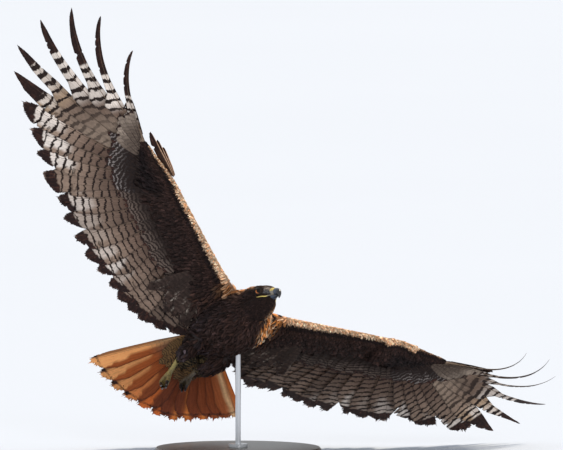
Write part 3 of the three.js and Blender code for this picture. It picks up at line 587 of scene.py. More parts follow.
def section_between(arm, hand, side, f):
    """Directions near the wrist; f counts feathers, below 0 on the arm."""
    w = float(smooth((f + 7) / 12))
    out = unit(blend(arm["out"], hand["out"], w))
    back = blend(arm["back"], hand["back"], w)
    back = unit(back - out * np.dot(back, out))
    return {"out": out, "back": back, "up": np.cross(out, back) * side}


def rooted(frame_of, root, angle, **more):
    """A feather's root and directions, turned back by an angle from straight outwards."""
    c, s = math.cos(math.radians(angle)), math.sin(math.radians(angle))
    along = frame_of["out"] * c + frame_of["back"] * s
    lead = frame_of["out"] * s - frame_of["back"] * c
    return {"root": root, "along": along, "lead": lead, "up": frame_of["up"], **more}


# %% Feather roots
def wing_plan(w):
    """Directions, joints and feather roots of one wing."""
    side = w["side"]
    arm, hand = section(side, w["arm"]), section(side, w["hand"])
    shoulder = np.array([78.0, side * 42.0, 18.0])
    wrist = shoulder + arm["out"] * ARM_LENGTH
    elbow = shoulder + arm["out"] * 0.475 * ARM_LENGTH + arm["back"] * 40
    primaries = []
    for k, length in enumerate(PRIMARY_LENGTHS):
        root = wrist + hand["out"] * (8 + PRIMARY_STEP * k) + hand["back"] * (18 - 1.5 * k)
        frame_of = section_between(arm, hand, side, k + 0.5)
        more = {"length": length + w["more"]["primary"][k], "bend": w["bend"][k]}
        more["roll"], more["curve"] = w["roll"][k], w["curve"][k]
        primaries.append(rooted(frame_of, root, w["fan"][k], **more))
    secondaries = []
    for j in range(1, SECONDARIES + 1):
        root = blend(wrist, elbow, min(1, (j - 1) / 9))
        if j > 10:
            root = blend(root, shoulder, (j - 10) * 0.16)
        root = root + arm["back"] * 8
        frame_of = section_between(arm, hand, side, 0.5 - j)
        x = (j - 1) / 11
        angle = w["angles"][0] + w["angles"][1] * x + w["angles"][2] * x * x
        length = SECONDARY_LENGTH - ((j - 8) ** 2 * 1.5 if j > 8 else 0)
        length += w["more"]["secondary"][j - 1]
        more = {"length": length, "bend": 3, "roll": 0, "curve": 0}
        secondaries.append(rooted(frame_of, root, angle, **more))
    made = {"armwise": arm, "handwise": hand, "shoulder": shoulder, "wrist": wrist}
    return {**w, **made, "primaries": primaries, "secondaries": secondaries}


PLANS = {tag: wing_plan(w) for tag, w in WINGS.items()}
print("wrist of the right wing", np.round(placed(PLANS["R"]["wrist"]), 3))

# %% [markdown]
# ## One skin
# Under the feathers a bird is one skin: trunk, neck and head, the fleshy part of each wing, the
# rump and the thighs. The parts are lofted one by one, a few millimetres inside the solids,
# and a voxel remesh then melts them into one closed surface. The hollow of each eye is cut
# first, a ridge of brow is set over it and a soft fold of the throat below it.

# %% Rings of flesh
TORSO = stations(
    "x y z w top bottom",
    (-112, 0, 8, 27, 19, 27),
    (-92, 0, 5, 36, 26, 37),
    (-62, 0, 2, 47, 35, 48),
    (-25, 0, 0, 56, 43, 55),
    (15, 0, -2, 60, 48, 59),
    (45, -1, -3, 57, 47, 57),
    (66, -4, -2, 48, 41, 50),
    (83, -9, 0, 38, 32, 41),
)
FACE = stations(
    "x w top bottom",
    (-24, 29, 23, 30),
    (-14, 26.5, 19, 27),
    (-3, 24.5, 16.5, 24.5),
    (7, 21.5, 15, 22),
    (14, 17, 13.6, 20),
    (19, 12.5, 11, 18),
    (24, 9, 7, 15.5),
)
THROAT = [(8, 4, -15, 13), (-10, 7, -26, 16.5), (-34, 7, -27, 17.5), (-56, 6, -22, 19)]
THIGH = [(-50, 30, -36, 23), (-82, 28, -50, 17), (-114, 21, -47, 8.5)]
TAIL_CORE = stations(
    "q w top bottom",
    (-8, 30, 18, 26),
    (12, 29, 15, 20),
    (38, 31, 11.5, 15),
    (66, 35, 8.5, 10.5),
    (88, 37, 6, 6.5),
)
FOIL = [(1, 0.5), (0.75, 0.8), (0.5, 0.97), (0.28, 1), (0.12, 0.8), (0.03, 0.42)]
BODY_COAT = 6.0
NECK_COAT = 4.2
FACE_COAT = 1.8
WING_COAT = 3.2
SIDE, RISE = np.array([0, 1.0, 0]), np.array([0, 0, 1.0])
HEAD_FRONT, HEAD_SIDE, HEAD_UP = HEAD_TURN[:, 0], HEAD_TURN[:, 1], HEAD_TURN[:, 2]



def thinner(s, coat):
    """The sizes of a station less the depth of the coat there."""
    return [s[key] - coat for key in ("w", "top", "bottom")]


rings = []
for s in TORSO:
    centre = np.array([s["x"], s["y"], s["z"]])
    rings.append(placed(oval(centre, SIDE, RISE, *thinner(s, BODY_COAT), square=2.15)))
for k, s in enumerate(FACE):
    coat = blend(NECK_COAT, FACE_COAT, min(1, k / 2.5))
    centre = on_head([s["x"] - coat * 0.3, 0, 0])
    rings.append(placed(oval(centre, HEAD_SIDE, HEAD_UP, *thinner(s, coat))))
trunk = loft("trunk", rings)
print("trunk", len(trunk.data.vertices), "points")

# %% Sockets, brows and throat
EYE_RADIUS = 10.5
EYE_AT = np.array([-1, 12.6, 0])
for side in (-1, 1):
    mirror = np.array([1, side, 1])
    cup = ball("cup", on_head(np.array([3.5, 25, -0.6]) * mirror), (10.6, 5.6, 8.6), HEAD_TURN)
    bed = ball("bed", on_head(EYE_AT * mirror), (11, 11, 11), HEAD_TURN)
    for cutter in (cup, bed):
        applied(trunk, "BOOLEAN", operation="DIFFERENCE", solver="EXACT", object=cutter)
        bpy.data.objects.remove(cutter)
flesh = [trunk]
BROW_TILT = 9
for side in (-1, 1):
    throat = [on_head([x, side * y, z]) for x, y, z, r in THROAT]
    flesh.append(limb("throat", throat, [r for x, y, z, r in THROAT], 24, 20))
    centre = on_head([1.5, side * 16.8, 6.9])
    brow_turn = HEAD_TURN @ turn_of(0, BROW_TILT, 0)
    flesh.append(ball("brow", centre, (13.0, 4.8, 2.3), brow_turn, 24, 16))
print("trunk of", len(trunk.data.polygons), "faces, with", len(flesh) - 1, "parts on it")


# %% Flesh of wings, tail and thighs
def foil_ring(frame_of, start, out, nose, ring, inset):
    """A ring round an arm or a hand, blunt in front and thin behind."""
    chord = ring["end"] - nose - inset * 0.9
    at = start + frame_of["out"] * out + frame_of["back"] * (nose + inset * 0.2)
    shape = []
    for sign, depth in ((1, ring["h"]), (-1, ring["d"])):
        half = []
        for s, h in FOIL:
            deep = max(h * depth, blend(h * depth, 4.7, (s - 0.5) * 2) if s > 0.5 else 0)
            deep = max(1.4, (deep - inset) * (0.9 if s == 1 else 1))
            half.append(at + frame_of["back"] * s * chord + frame_of["up"] * sign * deep)
        shape += half + [at] if sign > 0 else half[::-1]
    return placed(np.array(shape))


for tag, w in PLANS.items():
    arm_rings = []
    for r, nose in zip(ARM_CORE, w["arm_nose"]):
        out = r["s"] * ARM_LENGTH
        arm_rings.append(foil_ring(w["armwise"], w["shoulder"], out, nose, r, WING_COAT))
    flesh.append(loft("arm_flesh", arm_rings))
    hand_rings = []
    for r, nose in zip(HAND_CORE, w["hand_nose"]):
        out = r["s"] - (8 if r["s"] > 100 else 0)
        inset = min(WING_COAT, r["h"] * 0.4)
        hand_rings.append(foil_ring(w["handwise"], w["wrist"], out, nose, r, inset))
    flesh.append(loft("hand_flesh", hand_rings))
tail_rings = []
for s in TAIL_CORE:
    size = thinner(s, blend(5.0, 2.2, (s["q"] + 8) / 96))
    tail_rings.append(placed(oval(on_tail(s["q"], 0, -2), TAIL_TURN[:, 1], TAIL_TURN[:, 2], *size)))
flesh.append(loft("tail_flesh", tail_rings))
for side in (-1, 1):
    path = [(x, side * y, z) for x, y, z, r in THIGH]
    flesh.append(limb("thigh_flesh", path, [r - min(5, r * 0.3) for x, y, z, r in THIGH], 20, 14))
print(len(flesh), "parts of flesh")

# %% Melt them into one skin
VOXEL = 0.0021
skin = joined("skin", flesh)
applied(skin, "REMESH", mode="VOXEL", voxel_size=VOXEL)
applied(skin, "SMOOTH", factor=0.6, iterations=4)
softened(skin, 80)
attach(skin, "root")
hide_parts("torso", "neck", "head", "thigh_R", "thigh_L")
print("skin", len(skin.data.vertices), "points,", len(skin.data.polygons), "faces")

# %% [markdown]
# ## Vanes
# A flight feather is a stiff shaft with a vane on both sides. The vane is made of barbs that
# leave the shaft at a slant and run towards the tip, so its mesh is laid out along them: each
# row is one bundle of barbs. Where bundles part, the edge shows a split, and at the tip they
# end unevenly, which gives the worn, frayed look of a wild bird. Such a shape repeats dozens of
# times with other sizes, so it is computed as arrays and joined into one mesh for each row.

# %% Mesh from arrays
REACH_SCALE = 400
AWAY_SCALE = 100
GAP_SCALE = 40


class Sheaf:
    """Many thin blades gathered into one mesh, with their markings as attributes."""

    def __init__(self):
        self.points, self.faces, self.uv = [], [], []
        self.marks = {"tone": [], "mark": [], "bars": []}
        self.count = 0

    def add(self, points, faces, uv, **marks):
        self.points.append(points)
        self.faces.append(faces + self.count)
        self.uv.append(uv)
        for key, values in marks.items():
            self.marks[key].append(np.broadcast_to(values, (len(points), np.shape(values)[-1])))
        self.count += len(points)

    def build(self, name, material, slot, *nodes):
        points = placed(np.concatenate(self.points)).astype(np.float32)
        faces = np.concatenate(self.faces).astype(np.int32)
        uv = np.concatenate(self.uv).astype(np.float32)
        mesh = bpy.data.meshes.new(name)
        mesh.vertices.add(len(points))
        mesh.vertices.foreach_set("co", points.ravel())
        mesh.loops.add(faces.size)
        mesh.loops.foreach_set("vertex_index", faces.ravel())
        mesh.polygons.add(len(faces))
        mesh.polygons.foreach_set("loop_start", np.arange(len(faces), dtype=np.int32) * 4)
        mesh.update(calc_edges=True)
        layer = mesh.uv_layers.new(name="OFBake")
        layer.data.foreach_set("uv", uv[faces.ravel()].ravel())
        for key, values in self.marks.items():
            rgb = np.concatenate(values)
            rgba = np.ones((len(rgb), 4), np.float32)
            rgba[:, : rgb.shape[1]] = rgb
            attribute = mesh.attributes.new(key, "FLOAT_COLOR", "POINT")
            attribute.data.foreach_set("color", rgba.ravel())
        mesh.polygons.foreach_set("use_smooth", np.ones(len(faces), bool))
        mesh.materials.append(material)
        mesh.validate()
        piece = bpy.data.objects.new(name, mesh)
        scene.collection.objects.link(piece)
        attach(piece, "root")
        if nodes:
            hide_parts(*nodes)
        print(name, len(points), "points,", len(faces) * 2, "triangles")
        return piece


def grid_faces(rows, columns):
    """The faces of a sheet of points, row by row."""
    a = (np.arange(rows - 1)[:, None] * columns + np.arange(columns - 1)[None, :]).ravel()
    return np.stack([a, a + 1, a + 1 + columns, a + columns], axis=1)


# %% The line of a shaft
def heading(f, t):
    """The shaft's direction at shares of its length: it bends up and curves sideways."""
    t = np.asarray(t, float)[..., None]
    turn = math.radians(f["bend"]) * np.clip((t - 0.4) / 0.6, 0, 1) ** 1.3
    sway = math.radians(f["curve"]) * np.clip(t, 0, None)
    run = f["along"] * np.cos(turn) * np.cos(sway) + f["up"] * np.sin(turn)
    return run - f["lead"] * np.sin(sway) * np.cos(turn)


def shaft_line(f, steps=64):
    """A function that gives the place on the shaft at any share of its length."""
    t = (np.arange(steps) + 0.5) / steps
    walk = np.cumsum(heading(f, t) * f["length"] / steps, axis=0)
    points = np.vstack([f["root"], f["root"] + walk])
    knots = np.linspace(0, 1, steps + 1)

    def place(t):
        t = np.asarray(t, float)
        inside = np.clip(t, 0, 1)
        p = np.stack([np.interp(inside, knots, points[:, k]) for k in range(3)], axis=-1)
        return p + heading(f, t) * ((t - inside) * f["length"])[..., None]

    return place


# %% How a vane leans over its neighbours
LAYER = 1.35
STEEPEST = 0.4
FLATTEST = 0.02


def lean_along(f, inner, outer, distances):
    """The rise towards the leading edge that lets a vane pass its neighbours."""
    place = shaft_line(f)(distances / f["length"])
    least = np.full(len(distances), FLATTEST)
    for other, sign in ((inner, 1), (outer, -1)):
        if other is None:
            continue
        r = shaft_line(other)(distances / other["length"]) - place
        gap = (LAYER - sign * r @ f["up"]) / np.maximum(4, -sign * r @ f["lead"])
        least = np.maximum(least, gap)
    return np.minimum(STEEPEST, least)


# %% Widths of a vane
NEAR_WIDTH = 8
WIDENING = 0.17


def vane_widths(shape, length):
    """Half widths of the leading and trailing vane, and the rounding of the tip, by share."""
    near, blunt = shape.get("near", NEAR_WIDTH), shape.get("blunt", 0.1)

    def lead_of(t):
        return np.interp(t, *zip(*shape["lead"]))

    def trail_of(t):
        widening = near + WIDENING * np.clip(t, 0, 1) * length
        return np.minimum(np.interp(t, *zip(*shape["trail"])), widening)

    def round_tip(t):
        return np.sqrt(np.clip(1 - np.clip((t - 1 + blunt) / blunt, 0, 1) ** 2, 0, 1))

    return lead_of, trail_of, round_tip


# %% Barbs, splits and worn tips
COLUMNS = np.array([1, 0.82, 0.45, 0, -0.22, -0.48, -0.72, -0.9, -1.0])
BARB_SLANT = 0.72
TIP_REACH = 6.5
TIP_GAP = 3.5


def barb_grid(f, shape, look, rng):
    """Share of the length and sideways place of each point; a row is one bundle of barbs."""
    length, fray = f["length"], look.get("fray", 1.0)
    rows = max(16, int(length / look.get("barb", 2.7)))
    lead_of, trail_of, round_tip = vane_widths(shape, length)
    t0 = np.linspace(-0.02, 1, rows)
    odd = np.arange(rows) % 2
    worn = 0.03 + 0.2 * fray * ramp(t0, 0.74, 0.97)
    cut = [1 - worn * ragged * odd for ragged in rng.random((2, rows))]
    for _ in range(look.get("splits", 2)):
        k = int(rng.integers(int(rows * look.get("split_from", 0.6)), rows - 3))
        side = 1 if rng.random() < 0.8 else 0
        deep = rng.uniform(0.35, 0.75)
        cut[side][k] = min(cut[side][k], deep)
        cut[side][k - 1] = min(cut[side][k - 1], 0.5 + deep / 2)
    longer = TIP_REACH * fray * rng.random((2, rows)) ** 2 * (1 - odd)
    shorter = TIP_GAP * fray * odd * rng.random((2, rows))
    worn_off = (longer - shorter) * (ramp(t0, 0.8, 0.96) / length)
    grid_t, grid_a = np.zeros((2, rows, len(COLUMNS)))
    for c, s in enumerate(COLUMNS):
        side, width_of = (0, lead_of) if s > 0 else (1, trail_of)
        size = abs(s)
        end = t0 + BARB_SLANT * width_of(t0) / length * np.clip((1 - t0) / 0.14, 0, 1)
        stop = end + worn_off[side] * size**2
        grid_t[:, c] = t0 + (stop - t0) * size**1.15
        width = width_of(end) * round_tip(np.minimum(end, 0.9995))
        grid_a[:, c] = np.sign(s) * size * width * (1 - (1 - cut[side]) * size**2)
    return grid_t, grid_a


# %% The vane's surface
CAMBER = 0.0011
WAVE = 0.25


def vane_surface(f, shape, look, grid_t, grid_a, rng, lean):
    """The middle of the vane at each point, and the direction through it."""
    t, a = grid_t.ravel(), grid_a.ravel()
    place, run = shaft_line(f)(t), unit(heading(f, t))
    flat = unit(f["lead"] - run * (run @ f["lead"])[:, None])
    rise = f["up"] - run * (run @ f["up"])[:, None]
    rise = unit(rise - flat * np.sum(rise * flat, axis=1)[:, None])
    notch = shape.get("notch", 1)
    rolls = shape.get("rolls", [(notch, 0), (notch + 0.2, f["roll"])])
    roll = np.radians(np.interp(t, *zip(*rolls)))[:, None]
    sideways = flat * np.cos(roll) - rise * np.sin(roll)
    through = rise * np.cos(roll) + flat * np.sin(roll)
    slope = look.get("lean", 0.02)
    if lean is not None:
        slope = np.interp(np.clip(np.minimum(t, notch), 0, 1), *lean)
    wave = np.sin(t * f["length"] * 0.11 + rng.uniform(0, 6)) * WAVE * np.abs(a) / 20
    lift = slope * a - CAMBER * a * a + wave
    return place + sideways * a[:, None] + through * lift[:, None], through


def shell_faces(rows, columns, turn_round):
    """Faces of a thin closed shell: its upper side, its under side and the four edges."""
    count = rows * columns
    faces = grid_faces(rows, columns)
    edges = []
    for c in (0, columns - 1):
        k = np.arange(rows - 1) * columns + c
        quad = [k, k + columns, k + columns + count, k + count]
        edges.append(np.stack(quad if c == 0 else quad[::-1], axis=1))
    for r in (0, rows - 1):
        k = r * columns + np.arange(columns - 1)
        quad = [k, k + count, k + 1 + count, k + 1]
        edges.append(np.stack(quad if r == 0 else quad[::-1], axis=1))
    if turn_round:
        return np.concatenate([faces, faces[:, ::-1] + count, *edges])
    return np.concatenate([faces[:, ::-1], faces + count, *[e[:, ::-1] for e in edges]])


def hidden_by(points, neighbours):
    """How far each point lies against a neighbouring vane, from 0 to 1."""
    covered = np.zeros(len(points))
    for other in neighbours:
        r = points - other["root"]
        far, off = r @ other["along"], r @ other["lead"]
        share = np.clip(far / other["length"], 0, 1)
        lead, trail = (np.interp(share, *zip(*other["shape"][key])) for key in ("lead", "trail"))
        inside = np.where(off > 0, lead, trail) - np.abs(off)
        within = ramp(inside, -1.5, 2.5) * ramp(other["length"] - far, -3, 8)
        covered = np.maximum(covered, within)
    return covered


# %% The shaft
SHAFT_CAPS = np.array([[3, 2, 1, 0], [5, 4, 3, 0]])
SHAFT_ENDS = np.array([[0, 1, 2, 3], [0, 3, 4, 5]])


def add_shaft(sheaf, f, look, rings, u):
    """A thin six sided tube that tapers along the feather and stands out below the vane."""
    share = np.linspace(-0.03, 0.975, rings)
    place, run = shaft_line(f)(share), unit(heading(f, share))
    flat = unit(f["lead"] - run * (run @ f["lead"])[:, None])
    rise = np.cross(flat, run)
    rise *= np.sign(rise @ f["up"])[:, None]
    radius = look.get("shaft", 1.5) * (1 - 0.86 * np.clip(share, 0, 1) ** 0.8)
    angle = np.arange(6) / 6 * 2 * math.pi
    wide = flat[:, None, :] * np.cos(angle)[None, :, None] * 0.8
    deep = rise[:, None, :] * np.sin(angle)[None, :, None]
    tube = place[:, None, :] + radius[:, None, None] * (wide + deep)
    first = np.arange(rings - 1)[:, None] * 6
    k, nxt = first + np.arange(6), first + (np.arange(6) + 1) % 6
    quads = np.stack([k, nxt, nxt + 6, k + 6], axis=-1).reshape(-1, 4)
    quads = np.concatenate([quads, SHAFT_CAPS, SHAFT_ENDS + (rings - 1) * 6])
    outwards = np.cross(flat[0], rise[0]) @ run[0] > 0
    quads = quads if outwards else quads[:, ::-1]
    share = np.repeat(share, 6)
    flat_map, mark = np.full((len(share), 2), u), np.full((len(share), 3), 0.5)
    flat_map[:, 1] = 0.02 + 0.46 * np.clip(share + 0.04, 0, 1) / 1.06
    mark[:, 0], mark[:, 2] = share * f["length"] / REACH_SCALE, 0
    quill = blend(look["quill"][0], look["quill"][1], np.clip(share, 0, 1)[:, None])
    sheaf.add(tube.reshape(-1, 3), quads, flat_map, tone=quill, mark=mark, bars=[0.4, 0.3, 0.0])


# %% One feather
VANE_HALF = 0.15
RIM_HALF = 0.05


def feather(sheaf, f, shape, look, rng, slot, slots, lean=None, neighbours=()):
    """Adds one feather: its vane on both sides and its shaft."""
    grid_t, grid_a = barb_grid(f, shape, look, rng)
    rows, columns = grid_t.shape
    middle, through = vane_surface(f, shape, look, grid_t, grid_a, rng, lean)
    out_at = np.abs(np.tile(COLUMNS, rows))
    half = np.where(out_at > 0.99, RIM_HALF, VANE_HALF)[:, None] * through
    points = np.concatenate([middle + half, middle - half])
    turn_round = np.dot(np.cross(f["along"], -f["lead"]), f["up"]) > 0
    faces = shell_faces(rows, columns, turn_round)
    a, t = np.tile(grid_a.ravel(), 2), np.tile(grid_t.ravel(), 2)
    below = np.repeat([0.0, 1.0], rows * columns)
    covered = hidden_by(points, neighbours)
    tone, bars, dark = look["paint"](t, a, f["length"], below, covered, rng)
    # Painted shade: the outermost columns of each vane are darkened, as the thin shadow line between
    # overlapping feathers.
    tone = tone * (1 - look.get("edge_shade", 0.0) * ramp(np.tile(out_at, 2), 0.86, 1.0))[:, None]
    phase = rng.uniform(0, look.get("phase", 9.0))
    mark = [(t * f["length"] + phase) / REACH_SCALE, a / AWAY_SCALE + 0.5, dark]
    widest = 1.05 * max(w for key in ("lead", "trail") for _, w in shape[key])
    u = (slot + 0.5 + 0.46 * a / widest) / slots
    v = 0.02 + 0.46 * np.clip(t + 0.04, 0, 1.06) / 1.06 + 0.5 * (1 - below)
    flat_map = np.stack([u, v], axis=1)
    sheaf.add(points, faces, flat_map, tone=tone, mark=np.stack(mark, axis=1), bars=bars)
    add_shaft(sheaf, f, look, max(8, rows // 3), (slot + 0.5) / slots)


print("vanes", 2 * VANE_HALF, "mm thick, of", len(COLUMNS), "columns of points")

# %% [markdown]
# ## Finish of the flight feathers
# From below, the flight feathers are grey brown with narrow dark wavy bars and a broad dark band at
# the end; panels near the band are pale. Where a vane lies free of its neighbours, the light through
# it is painted in as a brighter panel; the left wing is painted darker, as it lies in shade, and the
# edges of all vanes are painted darker as the shade between overlapping feathers. Ground colour and
# the strength of the bars change slowly, so each point carries them; the bars themselves are drawn
# by the shader along the barbs, because they are finer than the mesh.

# %% Barred vane material
INK = ((0.02, 0.0095, 0.0085), (0.115, 0.045, 0.03))


def place_on_vane(w):
    """Millimetres along and across the vane, and how dark its end is."""
    reach, away, dark = w.attribute("mark", "Color").channels()
    return reach * REACH_SCALE, (away - 0.5) * AWAY_SCALE, dark


def vane_paint(w):
    tone = w.attribute("tone", "Color")
    reach, away, dark = place_on_vane(w)
    gap, duty, strength = w.attribute("bars", "Color").channels()
    gap = gap * GAP_SCALE
    wobble = w.noise(w.place(), 60, 2) - 0.5
    mottle = w.noise(w.place(), 230, 3) - 0.5
    drawn_out = {0: away * 0.09, 1: reach * 0.008, 2: strength * 3.0}
    lengthwise = w.node("ShaderNodeCombineXYZ", None, drawn_out)
    streaks = w.noise(lengthwise, 4.0, 4) - 0.5
    phase = (reach - away.size() * 0.22 + wobble * 14 + streaks * 8) / gap
    saw = (phase.part() - 0.5).size() * 2
    spread_by = duty + wobble * 0.5
    bar = (saw + mottle * 0.3).step(0.9 - spread_by, 1.1 - spread_by) * strength
    barb = ((reach - away.size() * 0.75) * 4.2).sine()
    streak = barb * 0.05 + mottle * 0.45 + streaks * 0.9 + 1.0
    ground = streak.shade(tone)
    barred = bar.mix(ground, (0.02, 0.0115, 0.0095))
    ink = (mottle + streaks * 1.5 + wobble).step(-0.15, 0.9).mix(*INK)
    ended = (dark + (mottle + streaks) * 0.7 * dark).step(0.3, 0.7).mix(barred, ink)
    faded = (dark + (mottle + streaks) * 1.2).step(1.25, 1.95) * 0.75
    ended = faded.mix(ended, (0.3, 0.205, 0.165))
    bump = w.bump(barb * 0.5 + mottle + streaks, 0.35, 0.0004)
    return {"Base Color": ended, "Normal": bump}


vane_finish = finish("barred_vane", vane_paint, Roughness=0.7, Specular_IOR_Level=0.12)
print(vane_finish.name, "of", len(vane_finish.node_tree.nodes), "nodes")

# %% Vane shapes
NOTCHES = [0.7, 0.6, 0.53, 0.46, 0.39, 0.31]
OUTER_VANES = [10, 9, 8.5, 8, 6.5, 3.5]
EDGE_ROLLS = {
    7: [(0.5, 0), (0.62, 26), (1, 24)],
    8: [(0.38, 0), (0.5, 40), (0.65, 36), (0.85, 24), (1, 10)],
    9: [(0.3, 0), (0.42, 38), (0.6, 33), (0.8, 17), (1, -3)],
    10: [(0.2, 0), (0.34, 38), (0.6, 32), (0.8, 16), (1, -3)],
}
BROAD = {
    "lead": [(0, 4), (0.12, 7), (0.35, 13), (0.84, 14), (0.93, 12), (1, 9)],
    "trail": [(0, 4), (0.12, 10), (0.35, 31), (0.8, 35), (0.9, 32), (1, 20)],
    "blunt": 0.11,
}
INNERMOST = {**BROAD, "trail": [(0, 4), (0.12, 14), (0.35, 38), (0.8, 48), (1, 36)]}
OUTERMOST = {**BROAD, "lead": [(0, 4), (0.12, 9), (0.35, 22), (0.8, 30), (1, 24)]}


print("fingers narrow at", NOTCHES, "of their length")


# %% Fingers and slits
def finger(tag, k):
    """The vanes of a finger: broad up to its notch, narrow from there."""
    notch, outer = NOTCHES[k - 4], OUTER_VANES[k - 4]
    lead_free, trail_free = PLANS[tag]["fingers"][k - 4]
    lead = [(0, 4), (0.1, outer * 0.8), (notch, outer), (notch + 0.1, lead_free)]
    lead += [(0.93, lead_free * 0.6), (1, 2)]
    trail = [(0, 4), (0.1, 9), (notch - 0.16, 27), (notch, 30), (notch + 0.09, trail_free)]
    trail += [(blend(notch, 1, 0.62), trail_free * 0.8), (0.94, trail_free * 0.45), (1, 3)]
    shape = {"lead": lead, "trail": trail, "notch": notch, "blunt": 0.04}
    if tag == "L" and k + 1 in EDGE_ROLLS:
        shape["rolls"] = EDGE_ROLLS[k + 1]
    return shape


def narrowed(shape, which, cut):
    """The same vane with its outer third cut back on one side, where the photo shows sky."""
    shares = (0, 0.12, 0.35, 0.72, 0.82, 0.92, 1)
    wide = np.interp(shares, *zip(*shape[which]))
    pulled = [(t, v * (1 - cut * float(ramp(t, 0.72, 0.92)))) for t, v in zip(shares, wide)]
    return {**shape, which: pulled}


def primary_shape(tag, k):
    shape = INNERMOST if k == 0 else BROAD if k < 4 else finger(tag, k)
    slits = PLANS[tag]["slits"]["primary"]
    cut = PLANS[tag]["slits"]["cut"]
    if k + 1 in slits:
        shape = narrowed(shape, "trail", cut)
    return narrowed(shape, "lead", cut) if k + 2 in slits else shape


def secondary_shape(tag, j):
    shape = OUTERMOST if j == 1 else BROAD
    slits = PLANS[tag]["slits"]
    if j + 1 in slits["secondary"]:
        shape = narrowed(shape, "trail", slits["cut"])
    slit = j in slits["secondary"] or (j == 1 and 1 in slits["primary"])
    return narrowed(shape, "lead", slits["cut"]) if slit else shape


# %% Colours of the flight feathers
GROUND = linear(108, 86, 74)
PALE = linear(184, 158, 138)
BUFF = linear(196, 166, 136)
# The palest vane colour; it is also the colour of light painted through free vanes.
PANEL = linear(244, 230, 218)
PLAIN = linear(164, 144, 126)
UPPER = linear(62, 44, 36)


def alike(values, t):
    """The same values for every point."""
    return np.tile(values, (len(t), 1))


def flight_look(k, tag, kind):
    """Ground, bars and dark end of one flight feather; k counts from the body outwards."""
    fingered = kind == "primary" and k >= 4
    notch = NOTCHES[k - 4] if fingered else None
    dark_from = PLANS[tag]["dark_from"][k - 4] if fingered else None
    right = tag == "R"
    # Painted shade: the left wing lies in shade, so its feathers are painted darker and their pale
    # ground weaker.
    wing_shade = 1.0 if right else 0.92
    backlit_windows = PLANS[tag]["backlit_windows"][kind][k if kind == "primary" else 12 - k]
    base_bars = (0.6, 0.4, 0.3, 0.25, 0.2, 0.2)[k - 4] if fingered else 0.3

    def paint(t, a, length, below, covered, rng):
        luck = rng.uniform(0.75, 1.15)
        pale = ramp(t, 0.35, 0.8) * (0.8 if kind == "primary" else 0.55) * luck
        pale = pale * (1 if right else 0.85)
        tone = blend(GROUND, PALE, np.clip(pale, 0, 1)[:, None])
        if fingered:
            plain = 1 - ramp(t, notch - 0.3, notch)
            tone = dyed(tone, PLAIN, 0.7 * plain)
            panel = 0.75 * ramp(t, notch - 0.08, notch + 0.02) * luck
            tone = dyed(tone, BUFF if k < 6 else PANEL, panel)
        # Painted light: where a vane lies free of its neighbours, the light through it is painted as
        # a pale panel, as strong as the wing's table gives for each feather.
        bright = ramp(t, 0.62, 0.74) * (1 - covered) * backlit_windows
        tone = blend(tone, PANEL, np.clip(bright * 1.1, 0, 1)[:, None]) * wing_shade
        outer_half = ramp(a * (1 if rng.random() < 0.6 else -1), -6, 10)
        tone = tone * (1 - 0.2 * outer_half)[:, None] * rng.uniform(0.85, 1.15)
        close = 0 if kind == "primary" else float(ramp(12 - k, 7, 10))
        tone = blend(tone, linear(70, 55, 48), 0.6 * close)
        tone = blend(UPPER * (1 + 0.3 * t[:, None]), tone, below[:, None])
        if fingered:
            dark = ramp(t, dark_from - 0.02, dark_from + 0.03)
            strength = blend(base_bars, 1.0, ramp(t, notch - 0.3, notch))
        else:
            band = length - (21 + 7 * luck) + 3 * np.cos(a / 9)
            dark = ramp(t * length, band - 4, band + 5)
            dark *= 1 - 0.5 * ramp(t * length, length - 7, length + 5) * ramp(luck, 0.8, 1.0)
            strength = blend(base_bars, 1.0, ramp(t, 0.12, 0.4))
        strength = np.where(below > 0.5, strength, 0.5)
        wide = 0.8 + 1.2 * ramp(t, notch, 0.9) if fingered else 0.3 * ramp(t, 0.5, 0.9)
        gap = 20.0 if fingered and k > 4 else 15.5 if right else 14.0
        gap *= 1 + 0.15 * (luck - 0.95)
        duty = (0.24 if right else 0.3) + 0.16 * wide
        bars = alike([gap / GAP_SCALE, 0, 0], t)
        bars[:, 1], bars[:, 2] = duty, strength
        worn_end = ramp(t * length, length - 9, length + 1) * (0.35 if fingered else 1.0)
        return tone, bars, np.clip(dark, 0, 1) * (1 + worn_end)

    look = {"paint": paint, "quill": (linear(150, 128, 108), linear(50, 34, 28)), "shaft": 1.7}
    return {**look, "edge_shade": 0.35, "phase": 7.0, "barb": 2.0}


# %% Colours of the greater coverts
def covert_look(tag, above, on_hand, on_fingers):
    """Ground and bars of one greater covert; those over the fingers are palest."""
    near, far = linear(46, 36, 32), linear(108, 93, 84)
    if on_hand:
        near, far = linear(30, 22, 22), linear(150, 140, 135)
    if on_fingers:
        near, far = linear(100, 86, 76), linear(162, 145, 130)

    def paint(t, a, length, below, covered, rng):
        luck = rng.uniform(0.6, 1.2)
        tone = blend(near, far, np.clip(ramp(t, 0.3, 0.9) * luck, 0, 1)[:, None])
        tone = alike(UPPER * 0.9, t) if above else tone
        strength = 0.2 if above else 0.3 if on_fingers else 0.95
        duty = 0.4 if on_fingers else 0.72 if on_hand and not above else 0.5
        bars = alike([8.2 / GAP_SCALE, duty, strength], t)
        dark = ramp(t * length, length - 9, length - 4) * (0.3 if above else 0.8)
        # Painted shade: the left wing's coverts are painted darker, as that wing lies in shade.
        return tone * (1.0 if tag == "R" else 0.8), bars, dark

    look = {"paint": paint, "quill": (linear(60, 48, 42), linear(36, 27, 24)), "shaft": 0.9}
    return {**look, "barb": 3.0, "splits": 1, "fray": 0.8, "lean": 0.04, "edge_shade": 0.3}


